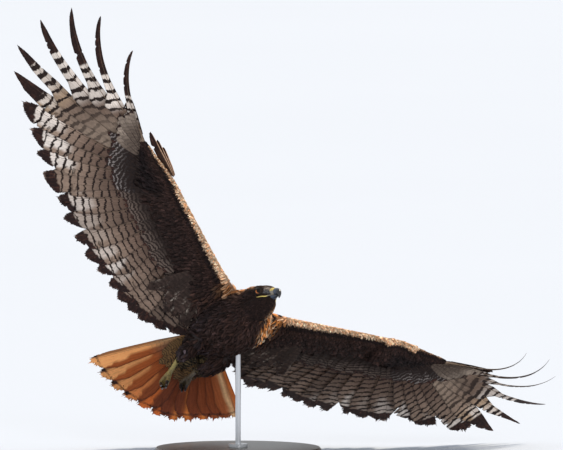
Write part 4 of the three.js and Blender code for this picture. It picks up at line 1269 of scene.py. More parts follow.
COVERT = {
    "lead": [(0, 5), (0.5, 10), (1, 7)],
    "trail": [(0, 5), (0.5, 14), (1, 10)],
    "blunt": 0.25,
    "near": 14,
}
OUTER_COVERT = {**COVERT, "lead": [(0, 2), (0.5, 3), (1, 2)]}


def between(f, g):
    """A feather half way between two neighbours."""
    keys = ("root", "along", "lead", "up", "length", "bend", "roll", "curve")
    mid = {key: blend(f[key], g[key], 0.5) for key in keys}
    for key in ("along", "lead", "up"):
        mid[key] = unit(mid[key])
    return mid


# %% Rows of flight feathers and greater coverts
STRAIGHT = {"bend": 0, "curve": 0, "roll": 0}
ROWS = {"secondary": ("secondaries", "arm"), "primary": ("primaries", "hand")}
for tag, w in PLANS.items():
    rng = np.random.default_rng(11 if tag == "R" else 23)
    hand_row = [{**f, "shape": primary_shape(tag, k)} for k, f in enumerate(w["primaries"])]
    arm_row = [{**f, "shape": secondary_shape(tag, j)} for j, f in enumerate(w["secondaries"], 1)]
    arm_row.reverse()
    everyone = arm_row + hand_row
    for kind, row in (("secondary", arm_row), ("primary", hand_row)):
        sheaf = Sheaf()
        for k, f in enumerate(row):
            inner = row[k - 1] if k else None
            outer = row[k + 1] if k + 1 < len(row) else None
            distances = np.linspace(0, f["length"], 25)
            lean = (np.linspace(0, 1, 25), lean_along(f, inner, outer, distances))
            here = k if kind == "secondary" else k + len(arm_row)
            beside = [everyone[i] for i in (here - 1, here + 1) if 0 <= i < len(everyone)]
            look = flight_look(k, tag, kind)
            look["splits"] = int(rng.integers(2, 5) if tag == "R" else rng.integers(3, 8))
            fingered = kind == "primary" and k >= 4
            look["fray"] = 0.35 if fingered else 0.85 if tag == "R" else 1.6
            length = f["length"] * (0.992 if fingered else 1 + 0.02 * (rng.random() - 0.5))
            feather(sheaf, {**f, "length": length}, f["shape"], look, rng, k, len(row), lean, beside)
        name, part = ROWS[kind]
        sheaf.build(f"{name}_{tag}", vane_finish, "flight_feathers", f"wing_{tag}_{part}")
    for above, offset, name in ((True, 3.8, "above"), (False, -4.6, "below")):
        sheaf = Sheaf()
        roots = []
        for k, f in enumerate(everyone):
            roots.append(f)
            if k + 1 < len(everyone):
                roots.append(between(f, everyone[k + 1]))
        for k, f in enumerate(roots):
            length = (84 if above else 62) * (1 + 0.3 * (rng.random() - 0.5))
            length *= min(1, f["length"] / 200)
            high = offset + (0.5 if k % 2 else 0) * np.sign(offset)
            root = f["root"] + f["along"] * 24 + f["up"] * high
            quill = {**f, **STRAIGHT, "root": root, "length": length}
            shape = OUTER_COVERT if k > len(roots) - 5 else COVERT
            look = covert_look(tag, above, k > 2 * len(arm_row) - 2, k > 2 * len(arm_row) + 10)
            feather(sheaf, quill, shape, look, rng, k, len(roots))
        sheaf.build(f"greater_coverts_{name}_{tag}", vane_finish, "flight_feathers")

# %% [markdown]
# ## Alula
# Three short stiff feathers stand on the thumb at the front of the wrist. They lie along the
# leading edge, so in flight they show as a small dark point.

# %% Alula feathers
ALULA = {
    "lead": [(0, 2), (0.3, 3), (0.75, 3), (1, 2)],
    "trail": [(0, 4), (0.3, 11), (0.75, 11), (1, 4)],
    "blunt": 0.1,
    "near": 12,
}


def alula_look():
    """Dark feathers with a tawny front edge."""

    def paint(t, a, length, below, covered, rng):
        tone = blend(linear(62, 44, 36), linear(214, 170, 138), ramp(a, 0.5, 2.5)[:, None])
        return tone, alike([0.3, 0.25, 0.3], t), ramp(t, 0.35, 0.8) * (1 - 0.8 * ramp(a, 0.5, 2.5))

    look = {"paint": paint, "quill": (linear(70, 56, 50), linear(30, 22, 20)), "shaft": 1.1}
    return {**look, "fray": 0.3, "splits": 1, "lean": 0.03}


for tag, w in PLANS.items():
    rng = np.random.default_rng(31)
    sheaf = Sheaf()
    hand = w["handwise"]
    out, aft, high, swing, fan = w["thumb"]
    aft += w["hand_nose"][1]
    thumb = w["wrist"] + hand["out"] * out + hand["back"] * aft + hand["up"] * high
    for k, (ahead, length, lift) in enumerate(((2, 100, 0), (5, 80, 1.5), (8, 62, 3))):
        root = thumb + (hand["up"] * lift - hand["back"] * ahead * 0.3) * fan
        f = rooted(hand, root, swing - ahead * fan, length=length, bend=4, curve=3, roll=0)
        feather(sheaf, f, ALULA, alula_look(), rng, k, 3)
    sheaf.build(f"alula_feathers_{tag}", vane_finish, "flight_feathers", f"alula_{tag}")

# %% [markdown]
# ## Tail
# Twelve broad rufous feathers in a fan. Light comes through a single vane and not through two
# that overlap, so the free stripe of each feather is a brighter orange. A thin dark line runs
# before the worn tips.

# %% Tail feathers
TAIL_VANE = {
    "lead": [(0, 4), (0.15, 7), (0.35, 14), (0.8, 19), (1, 15)],
    "trail": [(0, 4), (0.15, 9), (0.35, 20), (0.8, 32), (1, 24)],
    "blunt": 0.1,
    "near": 9,
}
TAIL_COUNT = 12
TAIL_LENGTH = 223


def tail_look(u):
    """Rufous vanes; u runs over the fan from -1 at the right to 1 at the left."""

    def paint(t, a, length, below, covered, rng):
        luck = rng.uniform(0.8, 1.15)
        bright = blend(linear(252, 174, 108), linear(226, 114, 52), float(ramp(u, -0.75, -0.2)))
        shut = blend(linear(168, 86, 42), linear(112, 56, 34), float(ramp(abs(u), 0.75, 0.2)))
        # Painted light: a vane lying alone is painted brighter, as light passes through it; where
        # two overlap it is darker.
        doubled = ramp(covered + 0.25 * np.sin(t * 9 + luck * 20), 0.25, 0.75)
        tone = blend(bright * luck, shut, doubled[:, None])
        if u > 0:
            stripe = np.exp(-((a - rng.uniform(-8, 6)) / rng.uniform(3, 5.5)) ** 2)
            tone = blend(tone, linear(122, 60, 36), 0.6)
            tone = dyed(tone, linear(236, 138, 66), 0.85 * stripe * ramp(t, 0.2, 0.5))
        if u > 0.9:
            tone = blend(tone, linear(176, 96, 54), 0.7)
            pale = np.exp(-((a + 6) / 4.0) ** 2) * ramp(t, 0.15, 0.4)
            tone = dyed(tone, linear(246, 206, 154), 0.85 * pale)
        outer_vane = ramp(a, 1, 4) * (abs(u) > 0.5)
        rim_tone = linear(216, 118, 56) if u > 0.9 else linear(112, 66, 42)
        tone = dyed(tone, rim_tone, 0.75 * outer_vane)
        dull = 0.7 * (1 - ramp(t, 0.25, 0.5)) * (abs(u) > 0.6)
        tone = dyed(tone, linear(122, 108, 88), dull)
        tone = blend(linear(150, 74, 38), tone, below[:, None])
        end = length - t * length
        line = ramp(end, 17, 14.5) * ramp(end, 7.5, 10)
        spot = ramp(end, 15, 11) * ramp(end, 3, 6) * ramp(a, 1, 6) * (u < -0.4)
        bars = alike([0.19, 0.22, 0.0], t)
        bars[:, 2] = 0.35 * (1 - ramp(t, 0.3, 0.5)) * (abs(u) > 0.9)
        return tone, bars, np.maximum(0.5 * line, 0.9 * spot)

    look = {"paint": paint, "quill": (linear(206, 170, 128), linear(130, 76, 44)), "shaft": 1.4}
    return {**look, "fray": 1.5, "splits": 6, "split_from": 0.86, "edge_shade": 0.45, "barb": 1.6}


# %% The fan of the tail
rng = np.random.default_rng(5)
sheaf = Sheaf()
tail_row = []
for k in range(TAIL_COUNT):
    u = (k - 5.5) / 5.5
    angle = math.radians(u * 41.6 - u * u * 9.6 + u**3 * 0.9)
    c, s = math.cos(angle), math.sin(angle)
    rank = 5 - k if k < 6 else k - 6 + 0.5
    lead = [(t, v * (1 - 0.5 * u**4)) for t, v in TAIL_VANE["lead"]]
    tail_row.append({
        "root": on_tail(0, u * 14, 3 - rank * LAYER),
        "along": TAIL_TURN @ np.array([-c, s, 0]),
        "lead": TAIL_TURN @ np.array([s, c, 0]) * (-1 if u < 0 else 1),
        "up": TAIL_TURN[:, 2],
        "length": TAIL_LENGTH * (1 - (abs(u) * 0.2 - u * u * 0.1)),
        "u": u,
        **STRAIGHT,
        "shape": {**TAIL_VANE, "lead": lead},
    })
for k, f in enumerate(tail_row):
    beside = [tail_row[i] for i in (k - 1, k + 1) if 0 <= i < TAIL_COUNT]
    f = {**f, "length": f["length"] * 0.995}
    look = {**tail_look(f["u"]), "lean": 0.0}
    feather(sheaf, f, f["shape"], look, rng, k, TAIL_COUNT, None, beside)
sheaf.build("tail_feathers", vane_finish, "tail_feathers", "tail")

# %% [markdown]
# ## The lie of the coat
# The small feathers cover all of the skin. They point away from the bill on the head, towards
# the tail on the body, back and outwards on the wings, and down the thighs. How long they are
# follows from the place too: four or five millimetres on the face, fourteen to twenty on the
# trunk, and on the wings the longer the farther from the front edge. First every point of the
# skin learns its region, its lie and its length.

# %% Regions of the skin
LEFT_BREAST = np.array([0.577, 0.77, 0.271])
TOP_BREAST = np.array([0.332, -0.525, 0.784])


def fleshy_chord(w, p):
    """Where points lie on a wing's flesh: outwards, share of its chord, height, on the hand."""
    arm, hand = w["armwise"], w["handwise"]
    rel = p - w["shoulder"]
    out, back, high = rel @ arm["out"], rel @ arm["back"], rel @ arm["up"]
    s = [r["s"] * ARM_LENGTH for r in ARM_CORE]
    nose = np.interp(out, s, w["arm_nose"])
    end = np.interp(out, s, [r["end"] for r in ARM_CORE])
    share = (back - nose) / (end - nose)
    rel = p - w["wrist"]
    far, aft = rel @ hand["out"], rel @ hand["back"]
    s = [r["s"] for r in HAND_CORE]
    nose = np.interp(far, s, w["hand_nose"])
    end = np.interp(far, s, [r["end"] for r in HAND_CORE])
    on_hand = ramp(far, -14, 6)
    share = blend(share, (aft - nose) / (end - nose), on_hand)
    return out, share, high, on_hand, far


def regions(p):
    """Weights of head, tail, thighs and the two wings at millimetre places on the bird."""
    h, t = from_head(p), from_tail(p)
    near = np.linalg.norm(h, axis=1)
    made = {"head": ramp(h[:, 0], -34, -14) * (near < 62), "h": h, "t": t}
    made["tail"] = ramp(-t[:, 0], -22, 6) * (p[:, 0] < -90)
    thigh = (p[:, 0] < -44) & (p[:, 2] < -30)
    made["thigh"] = ramp(-p[:, 2], 40, 50) * thigh
    for tag, w in PLANS.items():
        out, share, high, on_hand, far = fleshy_chord(w, p)
        fleshy = ramp(out, 12, 34) * (np.abs(high) < 60) * (np.abs(p[:, 1]) > 48)
        made[tag] = fleshy * (1 - made["thigh"]) * (1 - made["tail"])
        made[tag + "_share"], made[tag + "_hand"] = share, on_hand
        made[tag + "_out"], made[tag + "_far"] = out, far
    return made


# %% Lie and length
def lie_and_length(p, n, r):
    """Which way small feathers point at places on the skin, and how long they are."""
    lie = np.tile([-1.0, 0, -0.08], (len(p), 1))
    length = 17 + 3 * ramp(p[:, 0], 40, -60) - 6 * ramp(p[:, 0], 60, 100)
    length = length - 3 * ramp(p @ LEFT_BREAST, 40, 60) * (p[:, 2] < 20)
    h = r["h"]
    away = unit(h - np.array([34, 0, -5])) @ HEAD_TURN.T
    lie = blend(lie, away, r["head"][:, None])
    face = 4.6 + 7.0 * ramp(h[:, 0], 6, -22) - 1.4 * ramp(h[:, 0], 8, 17)
    length = blend(length, face, r["head"])
    fan = np.stack([-np.ones(len(p)), r["t"][:, 1] / 70, np.zeros(len(p))], axis=1) @ TAIL_TURN.T
    lie = blend(lie, fan, r["tail"][:, None])
    length = blend(length, 27 + 8 * ramp(-r["t"][:, 0], 20, 70), r["tail"])
    down = np.array([-0.93, 0, -0.3])
    lie = blend(lie, down, r["thigh"][:, None])
    length = blend(length, 17 - 6 * ramp(p[:, 0], -80, -110), r["thigh"])
    for tag, w in PLANS.items():
        arm, hand = w["armwise"], w["handwise"]
        on_hand = r[tag + "_hand"][:, None]
        over_arm = arm["back"] * 0.95 + arm["out"] * 0.3
        run = blend(over_arm, hand["back"] * 0.62 + hand["out"] * 0.8, on_hand)
        lie = blend(lie, run, r[tag][:, None])
        share = np.clip(r[tag + "_share"], 0, 1)
        thin = 1 - 0.45 * ramp(r[tag + "_far"], 30, 110)
        length = blend(length, (5.5 + 19 * share) * thin, r[tag])
    lie = lie - n * np.sum(lie * n, axis=1)[:, None]
    return unit(lie), length


print("regions:", *PLANS, "wings, head, tail, thighs and trunk")

# %% [markdown]
# ## Colours of the coat
# A dark hawk: nearly black brown below, a little warmer on the back. The front edge of each wing and
# the nape are tawny with pale streaks, painted brighter with the warm lamp's sunlight. The left side
# of the breast, where that light falls, is painted tawny with pale streaks as sunlight, and the top
# of the crown is painted tawny for the same light; grey sheen is painted on the lower body. Between
# bill and eye the face is grey. The small feathers under the tail are buff with dark bars. One
# function of the place gives the colour of the skin and of every feather on it.

# %% Coat colours by place
DARK = linear(54, 38, 34)
SOOT = linear(23, 17, 18)
WARM = linear(70, 46, 34)
SHEEN_SLATE = linear(66, 62, 70)
TAWNY = linear(196, 130, 74)
STRAW = linear(250, 222, 188)
RUSSET = linear(216, 140, 78)
LORE = linear(186, 168, 150)
LORE_GREY = linear(96, 96, 100)
OLIVE = linear(112, 96, 66)


def coat_colour(p, r, luck):
    """Ground colour and bar strength at places on the bird; luck is 0 to 1 for each."""
    h, t, head = r["h"], r["t"], r["head"]
    trunk = (1 - r["R"]) * (1 - r["L"])
    tone = blend(DARK, WARM, (0.6 * luck**2)[:, None])
    tone = dyed(tone, SOOT, 0.6 * ramp(np.abs(p[:, 1]), 20, 60) * (p[:, 2] < 0))
    # Painted sheen: grey blue highlights painted on the lower body, more of them towards the tail.
    grey = (1 - head) * ramp(luck, 0.55, 0.95) * ramp(p[:, 2], 6, -18)
    tone = dyed(tone, SHEEN_SLATE, grey * (0.2 + 0.3 * ramp(p[:, 0], 20, -50)))
    # Nape and shoulders: tawny of their own, painted brighter with the warm lamp's sunlight on them.
    nape = ramp(h[:, 0], 2, -14) * ramp(h[:, 2], 2, 13) * ramp(h[:, 0], -90, -40)
    shoulders = ramp(p[:, 2], 22, 36) * ramp(p[:, 0], 40, 70) * ramp(h[:, 0], 0, -20)
    nape = np.maximum(nape, shoulders) * trunk
    orange = blend(RUSSET, STRAW, (0.6 * luck**2)[:, None])
    tone = dyed(tone, orange, nape * (0.6 + 0.4 * luck))
    cheek = head * ramp(h[:, 2], 6, -8)
    tone = dyed(tone, SOOT, 0.6 * cheek)
    # Painted sunlight: the left side of the breast, where the warm lamp's light falls, is painted
    # tawny with pale streaks.
    aside, high = p @ LEFT_BREAST, p @ TOP_BREAST
    line = np.interp(high, [-43, -30, -13, 5, 23, 41], [48, 47, 48.7, 57.7, 68, 75.6])
    wing_line = 96 + (high - 1) * 1.25
    side = ramp(aside - line, -3, 3) * ramp(wing_line - aside, -4, 4) * ramp(p[:, 1], 0, 14)
    side = side * ramp(p[:, 2], 34, 20) * np.maximum(1 - head, ramp(h[:, 2], -9, -15))
    side = side * (np.linalg.norm(p - np.array([84, 20, -10]), axis=1) < 90)
    streak = side * (luck > 0.25 + 0.25 * head)
    pale = blend(RUSSET, STRAW, ramp(luck, 0.65, 0.95)[:, None])
    tone = dyed(tone, pale, 0.95 * streak)
    for tag in PLANS:
        share, on = r[tag + "_share"], r[tag]
        tone = dyed(tone, SOOT, 0.7 * on * luck * ramp(share, 0.1, 0.3))
        comma = on * r[tag + "_hand"] * ramp(share, 0.2, 0.5)
        comma = comma * (1 - ramp(r[tag + "_far"], 84, 106))
        tone = dyed(tone, SOOT, 0.85 * comma)
        # Front edges of the wings: tawny of their own, painted brighter with sunlight.
        pale = blend(linear(226, 160, 110), STRAW, luck[:, None])
        thin = 1.0 if tag == "R" else 1.25 + 0.35 * r[tag + "_hand"]
        edge = on * (1 - ramp(share * thin, 0.035, 0.075 + 0.03 * luck))
        tone = dyed(tone, pale, edge * 0.95)
        line = on * ramp(share, 0.05, 0.085) * (1 - ramp(share, 0.12, 0.17))
        tone = dyed(tone, SOOT, line * 0.8)
    lore = head * ramp(h[:, 0], 11, 16.5) * ramp(h[:, 2], -9, -5) * ramp(h[:, 2], 7, 3)
    speckled = blend(LORE_GREY, LORE, (luck * ramp(h[:, 2], -6, 3))[:, None])
    tone = dyed(tone, speckled, lore * (0.45 + 0.5 * luck))
    off_middle = np.abs(h[:, 1])
    brow = head * ramp(h[:, 2], 6.0, 8.4) * ramp(h[:, 0], -18, -8) * ramp(off_middle, 10, 14)
    tone = dyed(tone, SOOT, brow * 0.9)
    # Painted sunlight: the top of the crown is painted tawny where the light falls on it.
    crown = head * ramp(h[:, 0], 2, 8) * ramp(h[:, 2], 12, 15) * ramp(off_middle, 12, 6)
    tone = dyed(tone, TAWNY, 0.5 * crown * luck)
    stripe = head * ramp(h[:, 0], -6, -12) * ramp(np.abs(h[:, 2] - 1), 8, 3)
    stripe = stripe * ramp(off_middle, 15, 19)
    tone = dyed(tone, SOOT, stripe * 0.7)
    under = ramp(-t[:, 0], -26, 6) * ramp(t[:, 2], 0, -6) * (p[:, 0] < -88)
    tone = dyed(tone, OLIVE, under * (0.4 + 0.5 * luck))
    over = ramp(-t[:, 0], 10, 60) * ramp(t[:, 2], -2, 4) * (p[:, 0] < -100)
    tone = dyed(tone, linear(120, 64, 36), over * 0.7)
    return tone, under * 0.95


# %% Material of the skin
def skin_paint(w):
    tone = w.attribute("tone", "Color")
    fine = w.noise(w.place(), 420, 4)
    return {"Base Color": (fine * 0.5 + 0.45).shade(tone), "Normal": w.bump(fine, 0.5, 0.0006)}


skin_finish = finish("downy_skin", skin_paint, Roughness=0.85)
skin.data.materials.clear()
skin.data.materials.append(skin_finish)
skin_points, skin_normals = np.empty((2, len(skin.data.vertices) * 3))
skin.data.vertices.foreach_get("co", skin_points)
skin.data.vertices.foreach_get("normal", skin_normals)
skin_points = on_bird(skin_points.reshape(-1, 3))
skin_normals = skin_normals.reshape(-1, 3) @ BODY_TURN
skin_regions = regions(skin_points)
rng = np.random.default_rng(3)
skin_tone, _ = coat_colour(skin_points, skin_regions, rng.random(len(skin_points)))
rgba = np.ones((len(skin_tone), 4), np.float32)
rgba[:, :3] = skin_tone * 0.8
attribute = skin.data.attributes.new("tone", "FLOAT_COLOR", "POINT")
attribute.data.foreach_set("color", rgba.ravel())
print("skin colours from", np.round(skin_tone.min(0), 3), "to", np.round(skin_tone.max(0), 3))

# %% [markdown]
# ## Small body feathers
# Roots are random places on the skin's faces, chosen so that no two stand closer than a fifth
# of their length: a millimetre apart on the face, nearly four on the back. Each feather is a
# thin closed leaf: it starts in the skin, follows the curve of the body underneath and lifts a
# little towards its tip, over the roots of those behind it.

# %% Candidate places, more of them where feathers are short
def scattered(count, rng):
    """Random places on the skin with their normals, as dense as the feathers there."""
    quads = np.array([tuple(f.vertices) for f in skin.data.polygons if len(f.vertices) == 4])
    a, b, c, d = (skin_points[quads[:, k]] for k in range(4))
    area = 0.5 * np.linalg.norm(np.cross(c - a, d - b), axis=1)
    _, lengths = lie_and_length(skin_points, skin_normals, skin_regions)
    weight = area / np.minimum(lengths[quads[:, 0]], 18) ** 2
    pick = quads[rng.choice(len(quads), count, p=weight / weight.sum())]
    u, v = rng.random((count, 1)), rng.random((count, 1))
    share = [(1 - u) * (1 - v), u * (1 - v), u * v, (1 - u) * v]
    places = sum(skin_points[pick[:, k]] * share[k] for k in range(4))
    normals = sum(skin_normals[pick[:, k]] * share[k] for k in range(4))
    return places, unit(normals)


# %% Roots spread evenly
CANDIDATES = 90000
CLOSENESS = 0.2
BARE_RING = 11.0
BARE_FROM = 20.5


def spread_roots(points, gaps, rng):
    """Indices of points that keep their distance from one another."""
    cell = float(gaps.max())
    taken = {}
    chosen = []
    keys = np.floor(points / cell).astype(int)
    around = [(i, j, k) for i in (-1, 0, 1) for j in (-1, 0, 1) for k in (-1, 0, 1)]
    for i in rng.permutation(len(points)):
        x, y, z = keys[i]
        px, py, pz = points[i]
        gap = gaps[i] ** 2
        near = [q for a, b, c in around for q in taken.get((x + a, y + b, z + c), ())]
        if all((px - q[0]) ** 2 + (py - q[1]) ** 2 + (pz - q[2]) ** 2 >= gap for q in near):
            taken.setdefault((x, y, z), []).append((px, py, pz))
            chosen.append(i)
    return np.array(chosen)


rng = np.random.default_rng(9)
root_points, root_normals = scattered(CANDIDATES, rng)
root_regions = regions(root_points)
head_space = root_regions["h"]
bare = (head_space[:, 0] > BARE_FROM) & (root_regions["head"] > 0.5)
for side in (-1, 1):
    from_eye = head_space - mirrored(EYE_AT, side)
    bare |= np.linalg.norm(from_eye, axis=1) < BARE_RING
root_points, root_normals = root_points[~bare], root_normals[~bare]
root_regions = regions(root_points)
lie, lengths = lie_and_length(root_points, root_normals, root_regions)
roots = spread_roots(root_points, lengths * CLOSENESS, rng)
root_points, root_normals, lie = root_points[roots], root_normals[roots], lie[roots]
lengths = lengths[roots]
root_regions = {key: value[roots] for key, value in root_regions.items()}
print(len(roots), "small feathers")

# %% Unwrap of the skin's own shape, for the bake
def trunk_unwrap(p):
    """A flat map of the trunk, tail and thighs, round the body's long axis."""
    turn = np.arctan2(p[:, 2], p[:, 1]) / (2 * math.pi) + 0.5
    return np.stack([0.03 + 0.94 * turn, 0.03 + 0.94 * (p[:, 0] + 190) / 350], axis=1)


def wing_unwrap(tag, r, above):
    """A flat map of one wing: its lower face below, its upper face above."""
    u = 0.03 + 0.94 * np.clip(r[tag + "_out"] / 370, 0, 1)
    v = 0.03 + 0.44 * np.clip(r[tag + "_share"] * 0.9 + 0.05, 0, 1) + 0.5 * above
    return np.stack([u, v], axis=1)


# %% Leaves
skin_faces = [tuple(f.vertices) for f in skin.data.polygons]
tree = BVHTree.FromPolygons([Vector(p) for p in skin_points], skin_faces)
LEAF_V = np.array([0, 0.22, 0.48, 0.72, 0.9, 1.0])
LEAF_W = np.array([0.38, 0.82, 1.0, 0.85, 0.5, 0.07])
LEAF_GAP = 7.0


def nearest_on_skin(points):
    """The nearest places on the skin, and which way the skin faces there."""
    found = [tree.find_nearest(Vector(p))[:2] for p in points]
    places, normals = zip(*found)
    return np.array(places), np.array(normals)


# %% A bed of small feathers
def leaves(name, chosen, material, uv, lift, width, rng):
    """Small feathers on the chosen skin points, as one mesh."""
    p, n, d = root_points[chosen], root_normals[chosen], lie[chosen]
    count = len(p)
    length = lengths[chosen] * rng.uniform(0.82, 1.2, count)
    sway = rng.normal(0, 0.12 + lift, count)
    d = unit(d + np.cross(n, d) * sway[:, None])
    rise = lift * length * rng.uniform(0.55, 1.5, count)
    tip, tip_n = nearest_on_skin(p + d * length[:, None])
    mid, mid_n = nearest_on_skin(p + d * length[:, None] * 0.5)
    tip_n = np.where(np.sum(tip_n * n, axis=1)[:, None] > 0.1, tip_n, n)
    root = p - n * 0.6
    tip = tip + tip_n * rise[:, None]
    mid = mid + unit(mid_n + n) * (rise * 0.62 + 0.35)[:, None]
    bend = mid - (root + tip) * 0.5
    v = LEAF_V[None, :, None]
    spine = root[:, None, :] * (1 - v) + tip[:, None, :] * v + bend[:, None, :] * (4 * v * (1 - v))
    up = unit(n[:, None, :] * (1 - v) + tip_n[:, None, :] * v)
    run = unit(np.gradient(spine, axis=1))
    side = unit(np.cross(up, run))
    half = (width * length * rng.uniform(0.85, 1.15, count))[:, None] * LEAF_W[None, :] * 0.5
    tilt = rng.normal(0, 0.12, count)[:, None, None]
    rows = len(LEAF_V)
    rough = 0.06 + 0.22 * LEAF_V**2
    ragged = [1 + rng.normal(0, 1, (count, rows)) * rough for _ in range(2)]
    left = spine - (side + up * tilt) * (half * ragged[0])[..., None]
    right = spine + (side + up * tilt) * (half * ragged[1])[..., None]
    camber = (0.07 * half + 0.07)[..., None] * up
    points = np.stack([left, spine + camber, right, spine - camber * 0.2], axis=2)
    base = np.arange(count)[:, None, None] * rows * 4 + (np.arange(rows - 1) * 4)[None, :, None]
    k = np.arange(4)
    nxt = (k + 1) % 4
    quads = np.stack([base + k, base + 4 + k, base + 4 + nxt, base + nxt], axis=-1).reshape(-1, 4)
    first = np.arange(count) * rows * 4
    last = first + (rows - 1) * 4
    caps = [np.stack([first, first + 1, first + 2, first + 3], axis=1)]
    caps.append(np.stack([last + 3, last + 2, last + 1, last], axis=1))
    faces = np.concatenate([quads, *caps])
    shape = (count, rows, 4)
    share = np.broadcast_to(LEAF_V[None, :, None], shape)
    across = np.stack([-half, 0 * half, half, 0 * half], axis=2)
    r = {key: value[chosen] for key, value in root_regions.items()}
    luck = rng.random(count)
    tone, barred = coat_colour(p, r, luck)
    tone = tone * np.exp(rng.normal(0, 0.34, count))[:, None]
    tone = np.broadcast_to(tone[:, None, None, :], (*shape, 3))
    # Painted shade: each leaf is darker at its root, under the feathers that cover it, and lighter
    # towards its tip.
    tone = tone * (0.85 + 0.3 * share**2)[..., None]
    reach = share * length[:, None, None]
    mark = [reach / REACH_SCALE, across / AWAY_SCALE + 0.5, np.zeros(shape)]
    strength = np.broadcast_to(barred[:, None, None], shape)
    bars = [np.full(shape, LEAF_GAP / GAP_SCALE), np.full(shape, 0.45), strength]
    patch = np.stack([0.003 * (across / (2 * half.max() + 1e-6)), 0.003 * (share - 0.5)], axis=-1)
    flat = uv[:, None, None, :] + patch
    mark, bars = (np.stack(v, axis=-1).reshape(-1, 3) for v in (mark, bars))
    points, tone, flat = points.reshape(-1, 3), tone.reshape(-1, 3), flat.reshape(-1, 2)
    sheaf = Sheaf()
    sheaf.add(points, faces, flat, tone=tone, mark=mark, bars=bars)
    return sheaf.build(name, material, "dark_coat")


# %% [markdown]
# ## Armpit feathers
# From the armpit long soft dark feathers with pale worn edges lie back over the bases of the
# innermost flight feathers.

# %% Armpit feathers
ARMPIT = {
    "lead": [(0, 3), (0.4, 8), (0.8, 9), (1, 6)],
    "trail": [(0, 3), (0.4, 9), (0.8, 10), (1, 6)],
    "blunt": 0.2,
    "near": 12,
}


def armpit_look():
    """Dark feathers, some of them with pale worn edges."""

    def paint(t, a, length, below, covered, rng):
        tone = alike(linear(66, 52, 46) * rng.uniform(0.6, 1.3), t)
        edge = ramp(np.abs(a), 5.5, 9.5) * ramp(t, 0.5, 0.9) * rng.uniform(0.0, 1.0)
        tone = dyed(tone, linear(214, 198, 182), edge)
        bars = alike([11 / GAP_SCALE, 0.45, 0.6], t)
        return tone, bars, 0.4 * ramp(t, 0.75, 0.95) * (1 - edge)

    look = {"paint": paint, "quill": (linear(60, 48, 42), linear(40, 32, 28)), "shaft": 0.8}
    return {**look, "barb": 2.2, "splits": 4, "fray": 1.8, "lean": 0.02}


for tag, w in PLANS.items():
    rng = np.random.default_rng(51)
    sheaf = Sheaf()
    arm = w["armwise"]
    for k in range(26):
        out = 22 + 4.2 * (k % 13) + rng.uniform(-3, 3)
        aft = (66 if k < 13 else 96) + rng.uniform(-8, 8)
        low = 11.5 if k < 13 else 9.5
        root = w["shoulder"] + arm["out"] * out + arm["back"] * aft - arm["up"] * low
        angle = 92 + 38 * (1 - (k % 13) / 12) + rng.uniform(-9, 9)
        length = rng.uniform(66, 92)
        bend, curve = rng.uniform(-9, 1), rng.uniform(-6, 6)
        f = rooted(arm, root, angle, length=length, bend=bend, curve=curve, roll=0)
        feather(sheaf, f, ARMPIT, armpit_look(), rng, k, 26)
    sheaf.build(f"armpit_feathers_{tag}", vane_finish, "dark_coat")

# %% [markdown]
# ## Finish of the small feathers
# Softer and duller than the flight feathers: fine streaks along each leaf. Each leaf is painted
# darker at its root, as shade under the feathers that cover it, and lighter towards its tip. The
# same attributes as on the vanes carry colour and bars.

# %% Coat material
def coat_paint(w):
    tone = w.attribute("tone", "Color")
    reach, away, _ = place_on_vane(w)
    _, _, strength = w.attribute("bars", "Color").channels()
    fine = w.noise(w.place(), 330, 4) - 0.5
    broad = w.noise(w.place(), 38, 2) - 0.5
    hair = ((away * 8.0 + reach * 2.0) + fine * 14).sine()
    saw = (((reach - away.size() * 0.3) / LEAF_GAP + fine * 0.2).part() - 0.5).size() * 2
    bar = saw.step(0.42, 0.62) * strength
    ground = (hair * 0.1 + fine * 1.1 + broad * 0.8 + 1.0).shade(tone)
    colour = bar.mix(ground, (0.02, 0.014, 0.012))
    return {"Base Color": colour, "Normal": w.bump(fine * 2 + hair * 0.3, 0.5, 0.0005)}


coat_finish = finish("body_feather", coat_paint, Roughness=0.8, Specular_IOR_Level=0.12)
print(coat_finish.name, "of", len(coat_finish.node_tree.nodes), "nodes")

# %% Where each bed of feathers lies
trunk_map = trunk_unwrap(root_points)
rest = np.ones(len(roots), bool)
beds = []
for tag, w in PLANS.items():
    inside = (root_regions[tag] > 0.5) & rest
    above = root_normals @ w["armwise"]["up"] > 0
    for face, name in ((above, "above"), (~above, "below")):
        flat = wing_unwrap(tag, root_regions, above * 1.0)
        beds.append((f"lining_{name}_{tag}", inside & face, flat, 0.13, 0.46))
    rest &= ~inside
for name, region, limit, lift, width in (
    ("head_feathers", "head", 0.5, 0.08, 0.37),
    ("tail_coverts", "tail", 0.4, 0.1, 0.46),
    ("thigh_feathers", "thigh", 0.5, 0.2, 0.34),
):
    bed = (root_regions[region] > limit) & rest
    beds.append((name, bed, trunk_map, lift, width))
    rest &= ~bed
back = root_normals[:, 2] > 0
beds.append(("back_feathers", rest & back, trunk_map, 0.12, 0.42))
beds.append(("breast_feathers", rest & ~back, trunk_map, 0.22, 0.27))
rng = np.random.default_rng(17)
numbers = np.arange(len(roots))
for name, pick, uv, lift, width in beds:
    leaves(name, numbers[pick], coat_finish, uv[pick], lift, width, rng)

# %% [markdown]
# ## Coverts under the tail
# Three short rows of olive feathers with fine dark bars lie under the base of the tail, fanned
# like the tail itself. They are vanes too, because their bars and rounded ends show.

# %% Undertail coverts
UNDERTAIL = {
    "lead": [(0, 4), (0.3, 10), (0.8, 11), (1, 8)],
    "trail": [(0, 4), (0.3, 10), (0.8, 11), (1, 8)],
    "blunt": 0.3,
    "near": 14,
}


